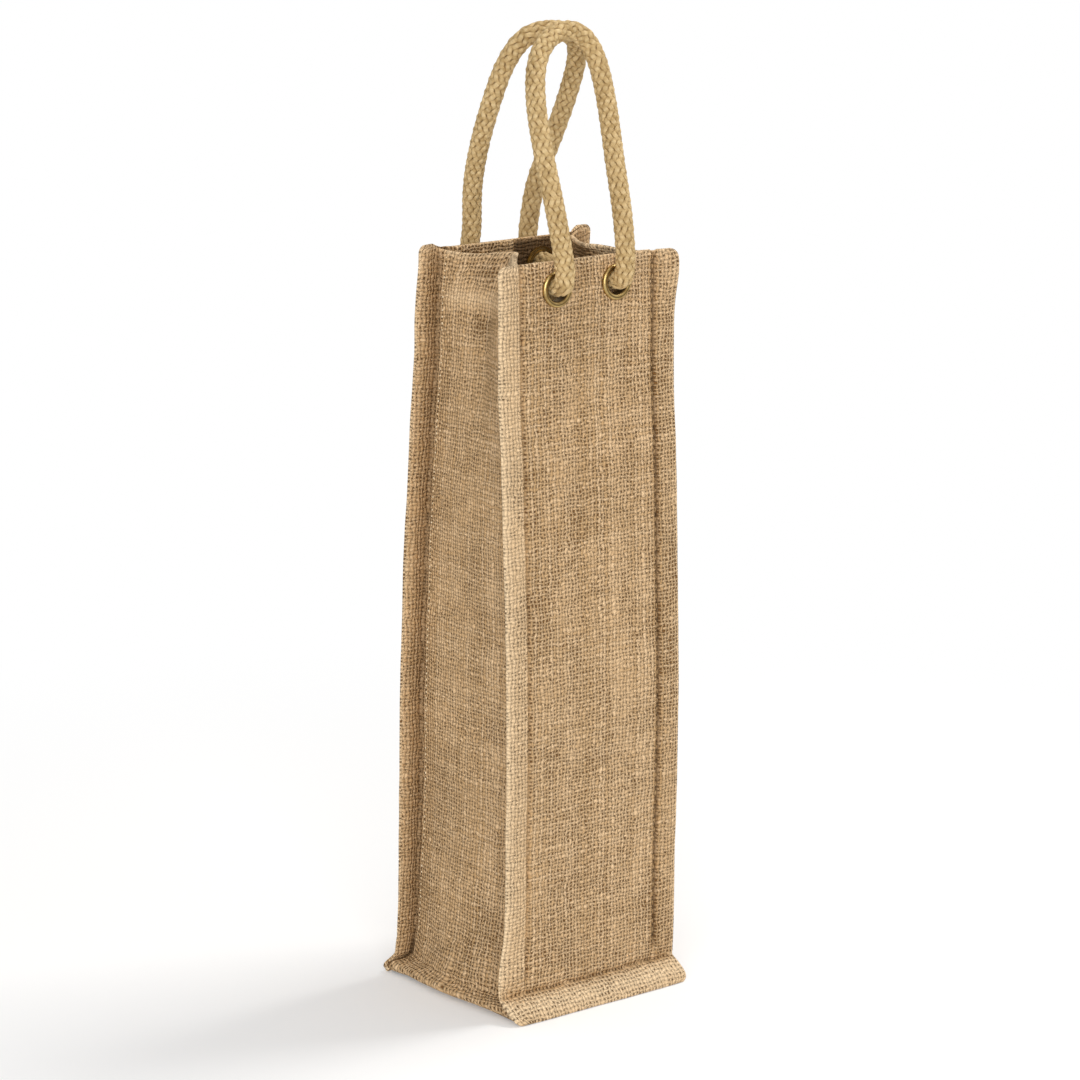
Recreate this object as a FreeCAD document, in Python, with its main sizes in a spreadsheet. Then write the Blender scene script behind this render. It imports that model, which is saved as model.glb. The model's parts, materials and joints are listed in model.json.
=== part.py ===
"""Jute carrier for one bottle: sewn cloth panels, brass eyelets and two rope handles.

Millimetres and degrees, +Z up, front panel towards -Y. The origin is the middle of the base,
on the surface that the carrier stands on.
"""
import FreeCAD
import Part
import math
import os
import re
import Sketcher
from FreeCAD import Placement, Rotation, Vector

# Driving sizes, one cell each. A share is a place on the half width between the side seams.
SIZES = {
    # cloth
    "height": 356.0,
    "panel_width": 104.0,
    "body_depth": 84.0,
    "mouth_depth": 61.0,
    "bow_height": 150.0,
    "bow_reach": 30.0,
    "cloth": 1.5,
    "hem": 28.0,
    "side_fin": 13.0,
    "bottom_fin": 12.5,
    "flare": 40.0,
    "seam_gap": 0.2,
    "corner_radius": 4.0,
    "bend_radius": 3.0,
    "rim_radius": 0.6,
    # side gussets
    "rim_drop": 1.0,
    "fold_tip_share": 0.49,
    "fold_height": 110.0,
    "web_bulge": 1.5,
    "skirt_bulge": 5.0,
    "skirt_height": 70.0,
    "ridge_inset": 5.0,
    # eyelets
    "eyelet_drop": 13.0,
    "eyelet_place_share": 0.449,
    "front_row_share": -0.023,
    "back_row_share": 0.044,
    "eyelet_bore": 11.4,
    "eyelet_flange": 16.8,
    "eyelet_wall": 0.6,
    "flange_rise": 1.6,
    "flange_rounding": 1.1,
    "lip_reach": 1.1,
    "lip_thickness": 0.6,
    "washer_width": 2.0,
    "washer_thickness": 0.8,
    "metal_gap": 0.1,
    "hole_ease": 0.3,
    # rope
    "rope_diameter": 9.0,
    "rope_gap": 0.5,
    "ball_gap": 0.3,
    "inner_reach": 8.5,
    "rope_drop": 17.0,
    "knot_turn": 5.0,
    "knot_pitch": 7.5,
    "knot_neck": 1.5,
    "knot_tilt": 10.0,
    "knot_tail": 8.0,
}

# Lengths that follow from the driving sizes. "out" is measured from the middle plane of the
# carrier towards the front or the back, and "up" from the floor.
FORMULAS = {
    "half_width": "panel_width / 2",
    "seam_half": "half_width - side_fin",
    "layers": "cloth + seam_gap",
    "knee_out": "body_depth / 2",
    "knee_up": "bottom_fin * sin(flare) + (cloth + layers) * cos(flare)",
    "tip_out": "knee_out + bottom_fin * cos(flare)",
    "tip_up": "(cloth + layers) * cos(flare)",
    "half_turn": "45 - flare / 2",
    "lean": "(knee_out - mouth_depth / 2) / (height - bow_height)",
    "bow_low": "bow_height - bow_reach",
    "bow_high": "bow_height + bow_reach",
    "bow_out": "knee_out - bow_reach * lean",
    "pinch_out": "knee_out - layers",
    "pinch_up": "knee_up - layers * tan(half_turn)",
    "sole_out": "tip_out - (cloth + layers) * sin(flare)",
    "rim_up": "height - rim_drop",
    "fold_depth": "seam_half * (1 - fold_tip_share)",
    "hem_half": "seam_half - 3 * cloth",
    "eyelet_up": "height - eyelet_drop",
    "eyelet_out": "mouth_depth / 2 + eyelet_drop * lean",
    "bore_radius": "eyelet_bore / 2",
    "barrel_radius": "bore_radius + eyelet_wall",
    "washer_seat": "2 * cloth + metal_gap",
    "lip_seat": "washer_seat + washer_thickness + metal_gap",
    "rope_radius": "rope_diameter / 2",
    "pivot_out": "eyelet_out + flange_rise + rope_gap + rope_radius",
    "hang_out": "eyelet_out - 2 * cloth - inner_reach",
    "knot_height": "2 * knot_neck + knot_pitch + rope_diameter",
}

# Routes of the two handles from the left eyelet to the right one. Each point is across from the
# middle of its eyelets, out from the middle plane, and up from the eyelets.
FRONT_ROUTE = [
    (-20.2, 39.9, 19.0),
    (-22.4, 36.8, 40.0),
    (-22.2, 27.8, 62.0),
    (-21.1, 18.8, 83.0),
    (-15.9, 11.2, 100.0),
    (-5.5, 6.2, 110.5),
    (7.5, 4.1, 114.3),
    (19.5, 5.6, 110.5),
    (27.0, 11.2, 99.0),
    (28.2, 20.2, 79.0),
    (24.0, 30.0, 57.0),
    (21.2, 37.2, 35.0),
    (18.8, 39.9, 17.0),
]
BACK_ROUTE = [
    (-14.6, 39.5, 18.0),
    (-16.9, 36.8, 38.0),
    (-18.4, 28.8, 59.0),
    (-17.6, 19.8, 79.0),
    (-14.6, 11.9, 96.5),
    (-6.3, 6.4, 108.5),
    (6.3, 4.1, 112.5),
    (18.8, 5.6, 109.5),
    (26.8, 11.4, 99.0),
    (30.0, 20.0, 80.0),
    (28.4, 29.2, 58.0),
    (22.6, 36.6, 37.0),
    (19.5, 39.5, 18.0),
]

# Share of the shorter run beside a corner of a route that its arc takes up
ARC_SHARE = 0.45

FRONT, BACK = -1, 1
LEFT, RIGHT = -1, 1

doc = FreeCAD.newDocument("BottleCarrier")
sheet = doc.addObject("Spreadsheet::Sheet", "Sizes")


def fill_sheet():
    """Write each driving size to a cell of its own, with its name as alias."""
    for row, (name, number) in enumerate(SIZES.items(), 1):
        sheet.set(f"A{row}", name)
        sheet.set(f"B{row}", str(number))
        sheet.setAlias(f"B{row}", name)
    doc.recompute()


def written_out(expression):
    """Return the expression with every formula's name replaced by the formula."""
    def replace(word):
        formula = FORMULAS.get(word.group())
        return f"({written_out(formula)})" if formula else word.group()
    return re.sub(r"[a-z_]+", replace, expression)


def bound(expression):
    """Return the expression as an object of the document takes it, on the sheet's cells."""
    def replace(word):
        return f"Sizes.{word.group()}" if word.group() in SIZES else word.group()
    return re.sub(r"[a-z_]+", replace, written_out(expression))


def size(expression):
    """Return the expression's present value in millimetres or degrees."""
    return float(sheet.evalExpression(written_out(expression)))


def new_body(name):
    """Add an empty body whose label names its file."""
    body = doc.addObject("PartDesign::Body", name)
    body.Label = name
    return body


def new_sketch(body, role, offset="0"):
    """Add a sketch on one of the body's own origin planes, moved along the plane's normal."""
    plane = next(item for item in body.Origin.OriginFeatures if item.Role == role)
    sketch = body.newObject("Sketcher::SketchObject", f"{body.Name}_sketch")
    sketch.AttachmentSupport = [(plane, "")]
    sketch.MapMode = "FlatFace"
    sketch.AttachmentOffset = Placement(Vector(0, 0, size(offset)), Rotation())
    sketch.setExpression("AttachmentOffset.Base.z", bound(offset))
    return sketch


def draw_outline(sketch, corners):
    """Draw a closed outline of straight lines, with each corner tied to its two expressions."""
    places = [Vector(size(across), size(along), 0) for across, along in corners]
    count = len(places)
    for index in range(count):
        sketch.addGeometry(Part.LineSegment(places[index], places[(index + 1) % count]), False)
    for index in range(count):
        sketch.addConstraint(Sketcher.Constraint("Coincident", index, 2, (index + 1) % count, 1))
    for index, corner in enumerate(corners):
        for kind, expression in zip(("DistanceX", "DistanceY"), corner):
            rule = sketch.addConstraint(Sketcher.Constraint(kind, index, 1, size(expression)))
            sketch.setExpression(f"Constraints[{rule}]", bound(expression))
    return sketch


def draw_circles(sketch, centres, radius):
    """Draw one circle round each centre, with centre and radius tied to expressions."""
    for index, (across, along) in enumerate(centres):
        centre = Vector(size(across), size(along), 0)
        sketch.addGeometry(Part.Circle(centre, Vector(0, 0, 1), size(radius)), False)
        rules = (("DistanceX", 3, across), ("DistanceY", 3, along))
        for kind, point, expression in rules:
            rule = sketch.addConstraint(Sketcher.Constraint(kind, index, point, size(expression)))
            sketch.setExpression(f"Constraints[{rule}]", bound(expression))
        rule = sketch.addConstraint(Sketcher.Constraint("Radius", index, size(radius)))
        sketch.setExpression(f"Constraints[{rule}]", bound(radius))
    return sketch


def pad(body, sketch, length):
    """Pad a sketch the same way to both sides of its plane."""
    feature = body.newObject("PartDesign::Pad", f"{body.Name}_pad")
    feature.Profile = sketch
    feature.SideType = "Symmetric"
    feature.setExpression("Length", bound(length))
    doc.recompute()
    return feature


def loft(body, sections):
    """Add straight walls from each section to the next."""
    feature = body.newObject("PartDesign::AdditiveLoft", f"{body.Name}_loft")
    feature.Profile = sections[0]
    feature.Sections = sections[1:]
    feature.Ruled = True
    doc.recompute()
    return feature


def revolve(body, sketch):
    """Turn a sketch that stands on the body's XZ plane round the body's Z axis."""
    feature = body.newObject("PartDesign::Revolution", f"{body.Name}_revolution")
    feature.Profile = sketch
    feature.ReferenceAxis = (sketch, ["V_Axis"])
    doc.recompute()
    return feature


def fillet(body, radius, wanted):
    """Round the edges of the body's last feature whose middle the test accepts."""
    last = body.Tip
    chosen = []
    for number, edge in enumerate(last.Shape.Edges, 1):
        middle = edge.valueAt((edge.FirstParameter + edge.LastParameter) / 2)
        if wanted(middle, edge):
            chosen.append(f"Edge{number}")
    feature = body.newObject("PartDesign::Fillet", f"{body.Name}_fillet")
    feature.Base = (last, chosen)
    feature.setExpression("Radius", bound(radius))
    doc.recompute()
    return feature


def near(first, second):
    """Tell whether two lengths are the same for the choice of an edge."""
    return abs(first - second) < size("seam_gap") / 2


def runs_across(edge):
    """Tell whether an edge is a straight line along X."""
    if edge.Curve.TypeId != "Part::GeomLine":
        return False
    return abs(edge.Curve.Direction.x) > math.cos(math.radians(1))


def row_across(side):
    """Return how far the middle of a panel's eyelets stands from the middle of the panel."""
    share = "front_row_share" if side == FRONT else "back_row_share"
    return f"seam_half * {share}"


def make_panel(name, side):
    """Front or back panel: one layer with a flared lower fin, a hem inside the rim and two holes."""
    body = new_body(name)

    def to_side(corners):
        return [(f"{side} * ({out})", up) for out, up in corners]

    layer = [
        ("mouth_depth / 2", "height"),
        ("bow_out", "bow_high"),
        ("knee_out", "bow_low"),
        ("knee_out", "knee_up"),
        ("tip_out", "tip_up"),
        ("tip_out - cloth * sin(flare)", "tip_up - cloth * cos(flare)"),
        ("knee_out - cloth", "knee_up - cloth * tan(half_turn)"),
        ("knee_out - cloth", "bow_low"),
        ("bow_out - cloth", "bow_high"),
        ("mouth_depth / 2 - cloth", "height"),
    ]
    hem = [
        ("mouth_depth / 2 - cloth", "height"),
        ("mouth_depth / 2 - cloth + hem * lean", "height - hem"),
        ("mouth_depth / 2 - 2 * cloth + hem * lean", "height - hem"),
        ("mouth_depth / 2 - 2 * cloth", "height"),
    ]
    pad(body, draw_outline(new_sketch(body, "YZ_Plane"), to_side(layer)), "panel_width")

    # rounded corners of the sheet, at the rim and at the lower fin
    def at_corner(middle, edge):
        return near(abs(middle.x), size("half_width")) and near(edge.Length, size("cloth"))
    fillet(body, "corner_radius", at_corner)

    # soft bend where the panel turns out into its lower fin
    def at_outer_bend(middle, edge):
        outside = near(abs(middle.y), size("knee_out"))
        return runs_across(edge) and outside and near(middle.z, size("knee_up"))

    def at_inner_bend(middle, edge):
        inside = near(abs(middle.y), size("knee_out - cloth"))
        return runs_across(edge) and inside and middle.z < size("knee_up")
    fillet(body, "bend_radius", at_outer_bend)
    fillet(body, "bend_radius + cloth", at_inner_bend)

    pad(body, draw_outline(new_sketch(body, "YZ_Plane"), to_side(hem)), "2 * hem_half")

    # rounded fold of the hem along the rim
    def at_rim(middle, edge):
        return runs_across(edge) and near(middle.z, size("height"))
    fillet(body, "rim_radius", at_rim)

    centres = [(eyelet_across(side, end), "eyelet_up") for end in (LEFT, RIGHT)]
    holes = body.newObject("PartDesign::Pocket", f"{name}_holes")
    holes.Profile = draw_circles(new_sketch(body, "XZ_Plane"), centres, "barrel_radius + hole_ease")
    holes.Type = "ThroughAll"
    holes.SideType = "Symmetric"
    doc.recompute()
    return body


def gusset_depth(up):
    """Half depth between the leaning panels at a height, less the seam's own gap."""
    return f"pinch_out - (({up}) - bow_height) * lean"


def make_gusset(name, side):
    """Side gusset: a web between two margins, folded in at the mouth and flared at the floor."""
    body = new_body(name)

    def section(up, seam, middle, out):
        edge = "half_width"
        corners = [
            (edge, f"-({out})"),
            (f"{seam} - cloth", f"-({out})"),
            (f"{middle} - cloth", "0"),
            (f"{seam} - cloth", out),
            (edge, out),
            (edge, f"{out} - cloth"),
            (seam, f"{out} - cloth"),
            (middle, "0"),
            (seam, f"cloth - ({out})"),
            (edge, f"cloth - ({out})"),
        ]
        placed = [(f"{side} * ({across})", along) for across, along in corners]
        return draw_outline(new_sketch(body, "XY_Plane", up), placed)

    fold_start = "rim_up - fold_height"
    loft(body, [
        section("layers", "half_width - cloth", "half_width - cloth", "sole_out - seam_gap"),
        section("pinch_up", "seam_half", "seam_half + skirt_bulge", "pinch_out"),
        section("skirt_height", "seam_half", "seam_half + web_bulge", "pinch_out"),
        section("bow_low", "seam_half", "seam_half + web_bulge", "pinch_out"),
        section("bow_high", "seam_half", "seam_half + web_bulge", gusset_depth("bow_high")),
        section(fold_start, "seam_half", "seam_half", gusset_depth(fold_start)),
        section("rim_up", "seam_half", "seam_half - fold_depth", gusset_depth("rim_up")),
    ])

    # hem inside the rim, one more layer along the folded web
    def hem_section(up, fold):
        out = gusset_depth(up)
        corners = [
            ("seam_half - cloth", f"-({out})"),
            ("seam_half - 2 * cloth", f"-({out})"),
            (f"seam_half - 2 * cloth - ({fold})", "0"),
            ("seam_half - 2 * cloth", out),
            ("seam_half - cloth", out),
            (f"seam_half - cloth - ({fold})", "0"),
        ]
        placed = [(f"{side} * ({across})", along) for across, along in corners]
        return draw_outline(new_sketch(body, "XY_Plane", up), placed)

    loft(body, [
        hem_section("rim_up - hem", "fold_depth * (1 - hem / fold_height)"),
        hem_section("rim_up", "fold_depth"),
    ])
    return body


def make_base(name):
    """Base: a sheet flat on the floor, raised to the pinched seams and turned down into the fins."""
    body = new_body(name)
    ridge = [
        ("tip_out - layers * sin(flare)", "tip_up - layers * cos(flare)"),
        ("pinch_out", "pinch_up"),
        ("pinch_out - (pinch_up - cloth) / tan(flare)", "cloth"),
        ("pinch_out - (pinch_up - cloth / cos(flare)) / tan(flare)", "0"),
        ("pinch_out", "pinch_up - cloth / cos(flare)"),
        ("sole_out", "0"),
    ]
    level = [
        ("sole_out", "cloth"),
        ("pinch_out", "cloth"),
        (ridge[2][0], "cloth"),
        (ridge[3][0], "0"),
        ("pinch_out", "0"),
        ("sole_out", "0"),
    ]

    def section(across, half):
        upper, lower = half[:3], half[3:]
        mirrored_upper = [(f"-({out})", up) for out, up in reversed(upper)]
        mirrored_lower = [(f"-({out})", up) for out, up in reversed(lower)]
        corners = upper + mirrored_upper + mirrored_lower + lower
        return draw_outline(new_sketch(body, "YZ_Plane", across), corners)

    ridge_end = "seam_half - ridge_inset"
    sheet_end = "half_width - 2 * cloth"
    loft(body, [
        section(f"-({sheet_end})", level),
        section(f"-({ridge_end})", ridge),
        section(ridge_end, ridge),
        section(sheet_end, level),
    ])
    return body


def eyelet_across(side, end):
    """Return how far an eyelet stands from the middle of its panel."""
    return f"{row_across(side)} + {end} * seam_half * eyelet_place_share"


def eyelet_place(side, end):
    """Place a piece whose own +Z points out of the panel, square to its leaning face."""
    centre = Vector(size(eyelet_across(side, end)), side * size("eyelet_out"), size("eyelet_up"))
    tilt = 90 - math.degrees(math.atan(size("lean")))
    return Placement(centre, Rotation(Vector(1, 0, 0), -side * tilt))


def make_eyelet(name, side, end):
    """Brass eyelet: a rounded flange outside, a barrel through the cloth and a rolled lip inside."""
    body = new_body(name)
    outline = [
        ("bore_radius", "flange_rise"),
        ("eyelet_flange / 2", "flange_rise"),
        ("eyelet_flange / 2", "metal_gap"),
        ("barrel_radius", "metal_gap"),
        ("barrel_radius", "-lip_seat"),
        ("barrel_radius + lip_reach", "-lip_seat"),
        ("barrel_radius + lip_reach", "-lip_seat - lip_thickness"),
        ("bore_radius", "-lip_seat - lip_thickness"),
    ]
    revolve(body, draw_outline(new_sketch(body, "XZ_Plane"), outline))
    fillet(body, "flange_rounding", lambda middle, edge: near(middle.z, size("flange_rise")))
    body.Placement = eyelet_place(side, end)
    return body


def make_washer(name, side, end):
    """Brass washer under the eyelet's rolled lip, on the inner face of the hem."""
    body = new_body(name)
    outline = [
        ("barrel_radius + metal_gap", "-washer_seat"),
        ("barrel_radius + metal_gap + washer_width", "-washer_seat"),
        ("barrel_radius + metal_gap + washer_width", "-washer_seat - washer_thickness"),
        ("barrel_radius + metal_gap", "-washer_seat - washer_thickness"),
    ]
    revolve(body, draw_outline(new_sketch(body, "XZ_Plane"), outline))
    body.Placement = eyelet_place(side, end)
    return body


def rounded_path(points, name):
    """Join straight runs with tangent arcs as large as the runs allow, and print the radii."""
    edges = []
    radii = []
    start = points[0]
    for before, corner, after in zip(points, points[1:], points[2:]):
        arriving = corner - before
        leaving = after - corner
        setback = ARC_SHARE * min(arriving.Length, leaving.Length)
        half = arriving.getAngle(leaving) / 2
        arriving.normalize()
        leaving.normalize()
        radius = setback / math.tan(half)
        inward = leaving - arriving
        inward.normalize()
        enter = corner - arriving * setback
        leave = corner + leaving * setback
        crown = corner + inward * (radius / math.cos(half) - radius)
        edges.append(Part.LineSegment(start, enter).toShape())
        edges.append(Part.Arc(enter, crown, leave).toShape())
        radii.append(round(radius, 1))
        start = leave
    edges.append(Part.LineSegment(start, points[-1]).toShape())
    print(name, "bend radii", radii)
    return Part.Wire(edges)


def rope_tube(points, name):
    """Return a tube of the rope's diameter along a route, and print how its volume compares."""
    path = rounded_path(points, name)
    radius = size("rope_radius")
    first = path.Edges[0]
    ring = Part.Wire(Part.Circle(points[0], first.tangentAt(first.FirstParameter), radius).toShape())
    tube = path.makePipeShell([ring], True, False)
    section = math.pi * radius ** 2
    share = tube.Volume / section / path.Length
    print(name, "length", round(path.Length, 1), "volume share", round(share, 4))
    return tube


def make_handle(name, side, route):
    """Rope handle: a tube along its route, with a round end in front of each eyelet."""
    middle = size(row_across(side))
    level = size("eyelet_up")
    out = side * size("pivot_out")
    pivots = [Vector(size(eyelet_across(side, end)), out, level) for end in (LEFT, RIGHT)]
    inner = [Vector(middle + across, side * out, level + up) for across, out, up in route]
    points = [pivots[0]] + inner + [pivots[1]]
    shape = rope_tube(points, name)
    for pivot, towards in ((pivots[0], inner[0]), (pivots[1], inner[-1])):
        dome = Part.makeSphere(size("rope_radius"), pivot, towards - pivot, -90, 0, 360)
        shape = shape.fuse(dome)
    handle = doc.addObject("Part::Feature", name)
    handle.Label = name
    handle.Shape = shape.removeSplitter()
    return handle


def make_rope_end(name, side, end):
    """Rope from the mouth of an eyelet through its bore, then down inside to the knot."""
    across = size(eyelet_across(side, end))
    level = size("eyelet_up")
    points = [
        Vector(across, side * size("pivot_out - rope_radius - ball_gap"), level),
        Vector(across, side * size("hang_out"), level),
        Vector(across, side * size("hang_out"), level - size("rope_drop")),
    ]
    piece = doc.addObject("Part::Feature", name)
    piece.Label = name
    piece.Shape = rope_tube(points, name)
    return piece


def make_knot(name, side, end):
    """Stopper knot: two turns of rope tilted against each other round a core, and a short tail."""
    turns = []
    for number, tilt in ((0, 1), (1, -1)):
        turn = doc.addObject("Part::Torus", f"{name}_turn_{number}")
        turn.setExpression("Radius1", bound("knot_turn"))
        turn.setExpression("Radius2", bound("rope_radius"))
        depth = size(f"knot_neck + rope_radius + {number} * knot_pitch")
        lean_over = Rotation(Vector(side, end, 0), tilt * size("knot_tilt"))
        turn.Placement = Placement(Vector(0, 0, -depth), lean_over)
        turns.append(turn)
    core = doc.addObject("Part::Cylinder", f"{name}_core")
    core.setExpression("Radius", bound("knot_turn"))
    core.setExpression("Height", bound("knot_height"))
    core.Placement = Placement(Vector(0, 0, -size("knot_height")), Rotation())
    tail = doc.addObject("Part::Cylinder", f"{name}_tail")
    tail.setExpression("Radius", bound("rope_radius"))
    tail.setExpression("Height", bound("knot_height + knot_tail"))
    tail.Placement = Placement(Vector(0, 0, -size("knot_height + knot_tail")), Rotation())
    knot = doc.addObject("Part::MultiFuse", name)
    knot.Label = name
    knot.Shapes = turns + [core, tail]
    across = size(eyelet_across(side, end))
    top = Vector(across, side * size("hang_out"), size("eyelet_up - rope_drop"))
    knot.Placement = Placement(top, Rotation())
    doc.recompute()
    return knot


def build():
    """Make every piece and return them in the order in which the carrier is put together."""
    fill_sheet()
    pieces = [
        make_panel("front_panel", FRONT),
        make_panel("back_panel", BACK),
        make_gusset("left_gusset", LEFT),
        make_gusset("right_gusset", RIGHT),
        make_base("base_panel"),
    ]
    for side, face in ((FRONT, "front"), (BACK, "back")):
        for end, hand in ((LEFT, "left"), (RIGHT, "right")):
            pieces.append(make_eyelet(f"{face}_{hand}_eyelet", side, end))
            pieces.append(make_washer(f"{face}_{hand}_washer", side, end))
            pieces.append(make_rope_end(f"{face}_{hand}_rope_end", side, end))
            pieces.append(make_knot(f"{face}_{hand}_knot", side, end))
    pieces.append(make_handle("front_handle_rope", FRONT, FRONT_ROUTE))
    pieces.append(make_handle("back_handle_rope", BACK, BACK_ROUTE))
    doc.recompute()
    return pieces


def check(pieces):
    """Stop if any object failed or any piece isn't one valid solid."""
    for item in doc.Objects:
        if "Invalid" in item.State or "Error" in item.State:
            raise RuntimeError(f"{item.Label} failed: {item.State}")
    for piece in pieces:
        shape = piece.Shape
        if shape.isNull() or not shape.isValid() or len(shape.Solids) != 1:
            raise RuntimeError(f"{piece.Label} isn't one valid solid")


def export(pieces):
    """Write each piece to a file under its own label."""
    os.makedirs("parts", exist_ok=True)
    for piece in pieces:
        piece.Shape.exportStep(f"parts/{piece.Label}.step")
        print(piece.Label, round(piece.Shape.Volume), "mm3")


pieces = build()
check(pieces)
export(pieces)
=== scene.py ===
"""Dressing of a jute bottle carrier: woven cloth shells, plaited rope handles, brass eyelets and threads.

Metres, +Z up, front panel towards -Y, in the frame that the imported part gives.
"""

import json
import logging
import math
from dataclasses import dataclass, field
from enum import Enum
from typing import Any, ClassVar, NamedTuple, Sequence

import bpy
import numpy as np
from mathutils import Matrix, Vector, noise


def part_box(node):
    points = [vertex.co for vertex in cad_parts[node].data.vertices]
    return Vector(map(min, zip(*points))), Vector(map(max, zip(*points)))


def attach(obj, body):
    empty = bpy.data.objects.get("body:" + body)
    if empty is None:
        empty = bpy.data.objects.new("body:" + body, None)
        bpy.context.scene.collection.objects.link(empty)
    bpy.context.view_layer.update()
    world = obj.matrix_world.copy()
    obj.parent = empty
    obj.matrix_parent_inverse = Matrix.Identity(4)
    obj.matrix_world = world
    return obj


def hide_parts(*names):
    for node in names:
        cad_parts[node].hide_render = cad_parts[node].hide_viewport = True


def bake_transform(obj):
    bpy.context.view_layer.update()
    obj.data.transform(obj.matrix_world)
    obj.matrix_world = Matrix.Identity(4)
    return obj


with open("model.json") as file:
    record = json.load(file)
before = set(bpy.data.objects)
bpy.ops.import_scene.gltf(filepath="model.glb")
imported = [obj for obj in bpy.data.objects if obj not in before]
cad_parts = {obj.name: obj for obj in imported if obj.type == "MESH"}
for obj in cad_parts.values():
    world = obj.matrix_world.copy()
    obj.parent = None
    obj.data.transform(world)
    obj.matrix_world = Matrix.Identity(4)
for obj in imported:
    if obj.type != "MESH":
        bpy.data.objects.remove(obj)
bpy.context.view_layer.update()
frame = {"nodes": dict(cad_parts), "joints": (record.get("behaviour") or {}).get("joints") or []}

LOG = logging.getLogger("bottle_carrier")
CLOTH_MAP = "cloth"
Colour = tuple[float, float, float]
Grid = np.ndarray
Span = tuple[float, float]

# Spacing of the cloth's grid lines, from its round edges to its plain middle
EDGE_SPACING = 0.00015
BEND_SPACING = 0.0005
FIN_SPACING = 0.0011
PLAIN_SPACING = 0.0016

# Width of a round edge, and of the bend that it ends
EDGE_WIDTH = 0.0006
BEND_WIDTH = 0.0022


class Side(Enum):
    """Which of the two broad panels a piece belongs to."""

    FRONT = -1
    BACK = 1


class Hand(Enum):
    """Which side of the carrier a piece is on, seen from the front."""

    LEFT = -1
    RIGHT = 1


class Wire:
    """An output socket that takes part in arithmetic, each operation being one more node."""

    def __init__(self, graph: "Graph", socket: bpy.types.NodeSocket) -> None:
        """Keep a socket together with its tree."""
        self.graph = graph
        self.socket = socket

    def __add__(self, other: "Wire | float") -> "Wire":
        """Return the sum."""
        return self.graph.math("ADD", self, other)

    def __radd__(self, other: float) -> "Wire":
        """Return the sum with a number on the left."""
        return self.graph.math("ADD", other, self)

    def __sub__(self, other: "Wire | float") -> "Wire":
        """Return the difference."""
        return self.graph.math("SUBTRACT", self, other)

    def __rsub__(self, other: float) -> "Wire":
        """Return the difference from a number."""
        return self.graph.math("SUBTRACT", other, self)

    def __mul__(self, other: "Wire | float") -> "Wire":
        """Return the product."""
        return self.graph.math("MULTIPLY", self, other)

    def __rmul__(self, other: float) -> "Wire":
        """Return the product with a number on the left."""
        return self.graph.math("MULTIPLY", other, self)

    def __truediv__(self, other: "Wire | float") -> "Wire":
        """Return the quotient."""
        return self.graph.math("DIVIDE", self, other)

    def __neg__(self) -> "Wire":
        """Return the value with its sign turned."""
        return self.graph.math("MULTIPLY", self, -1.0)


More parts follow.
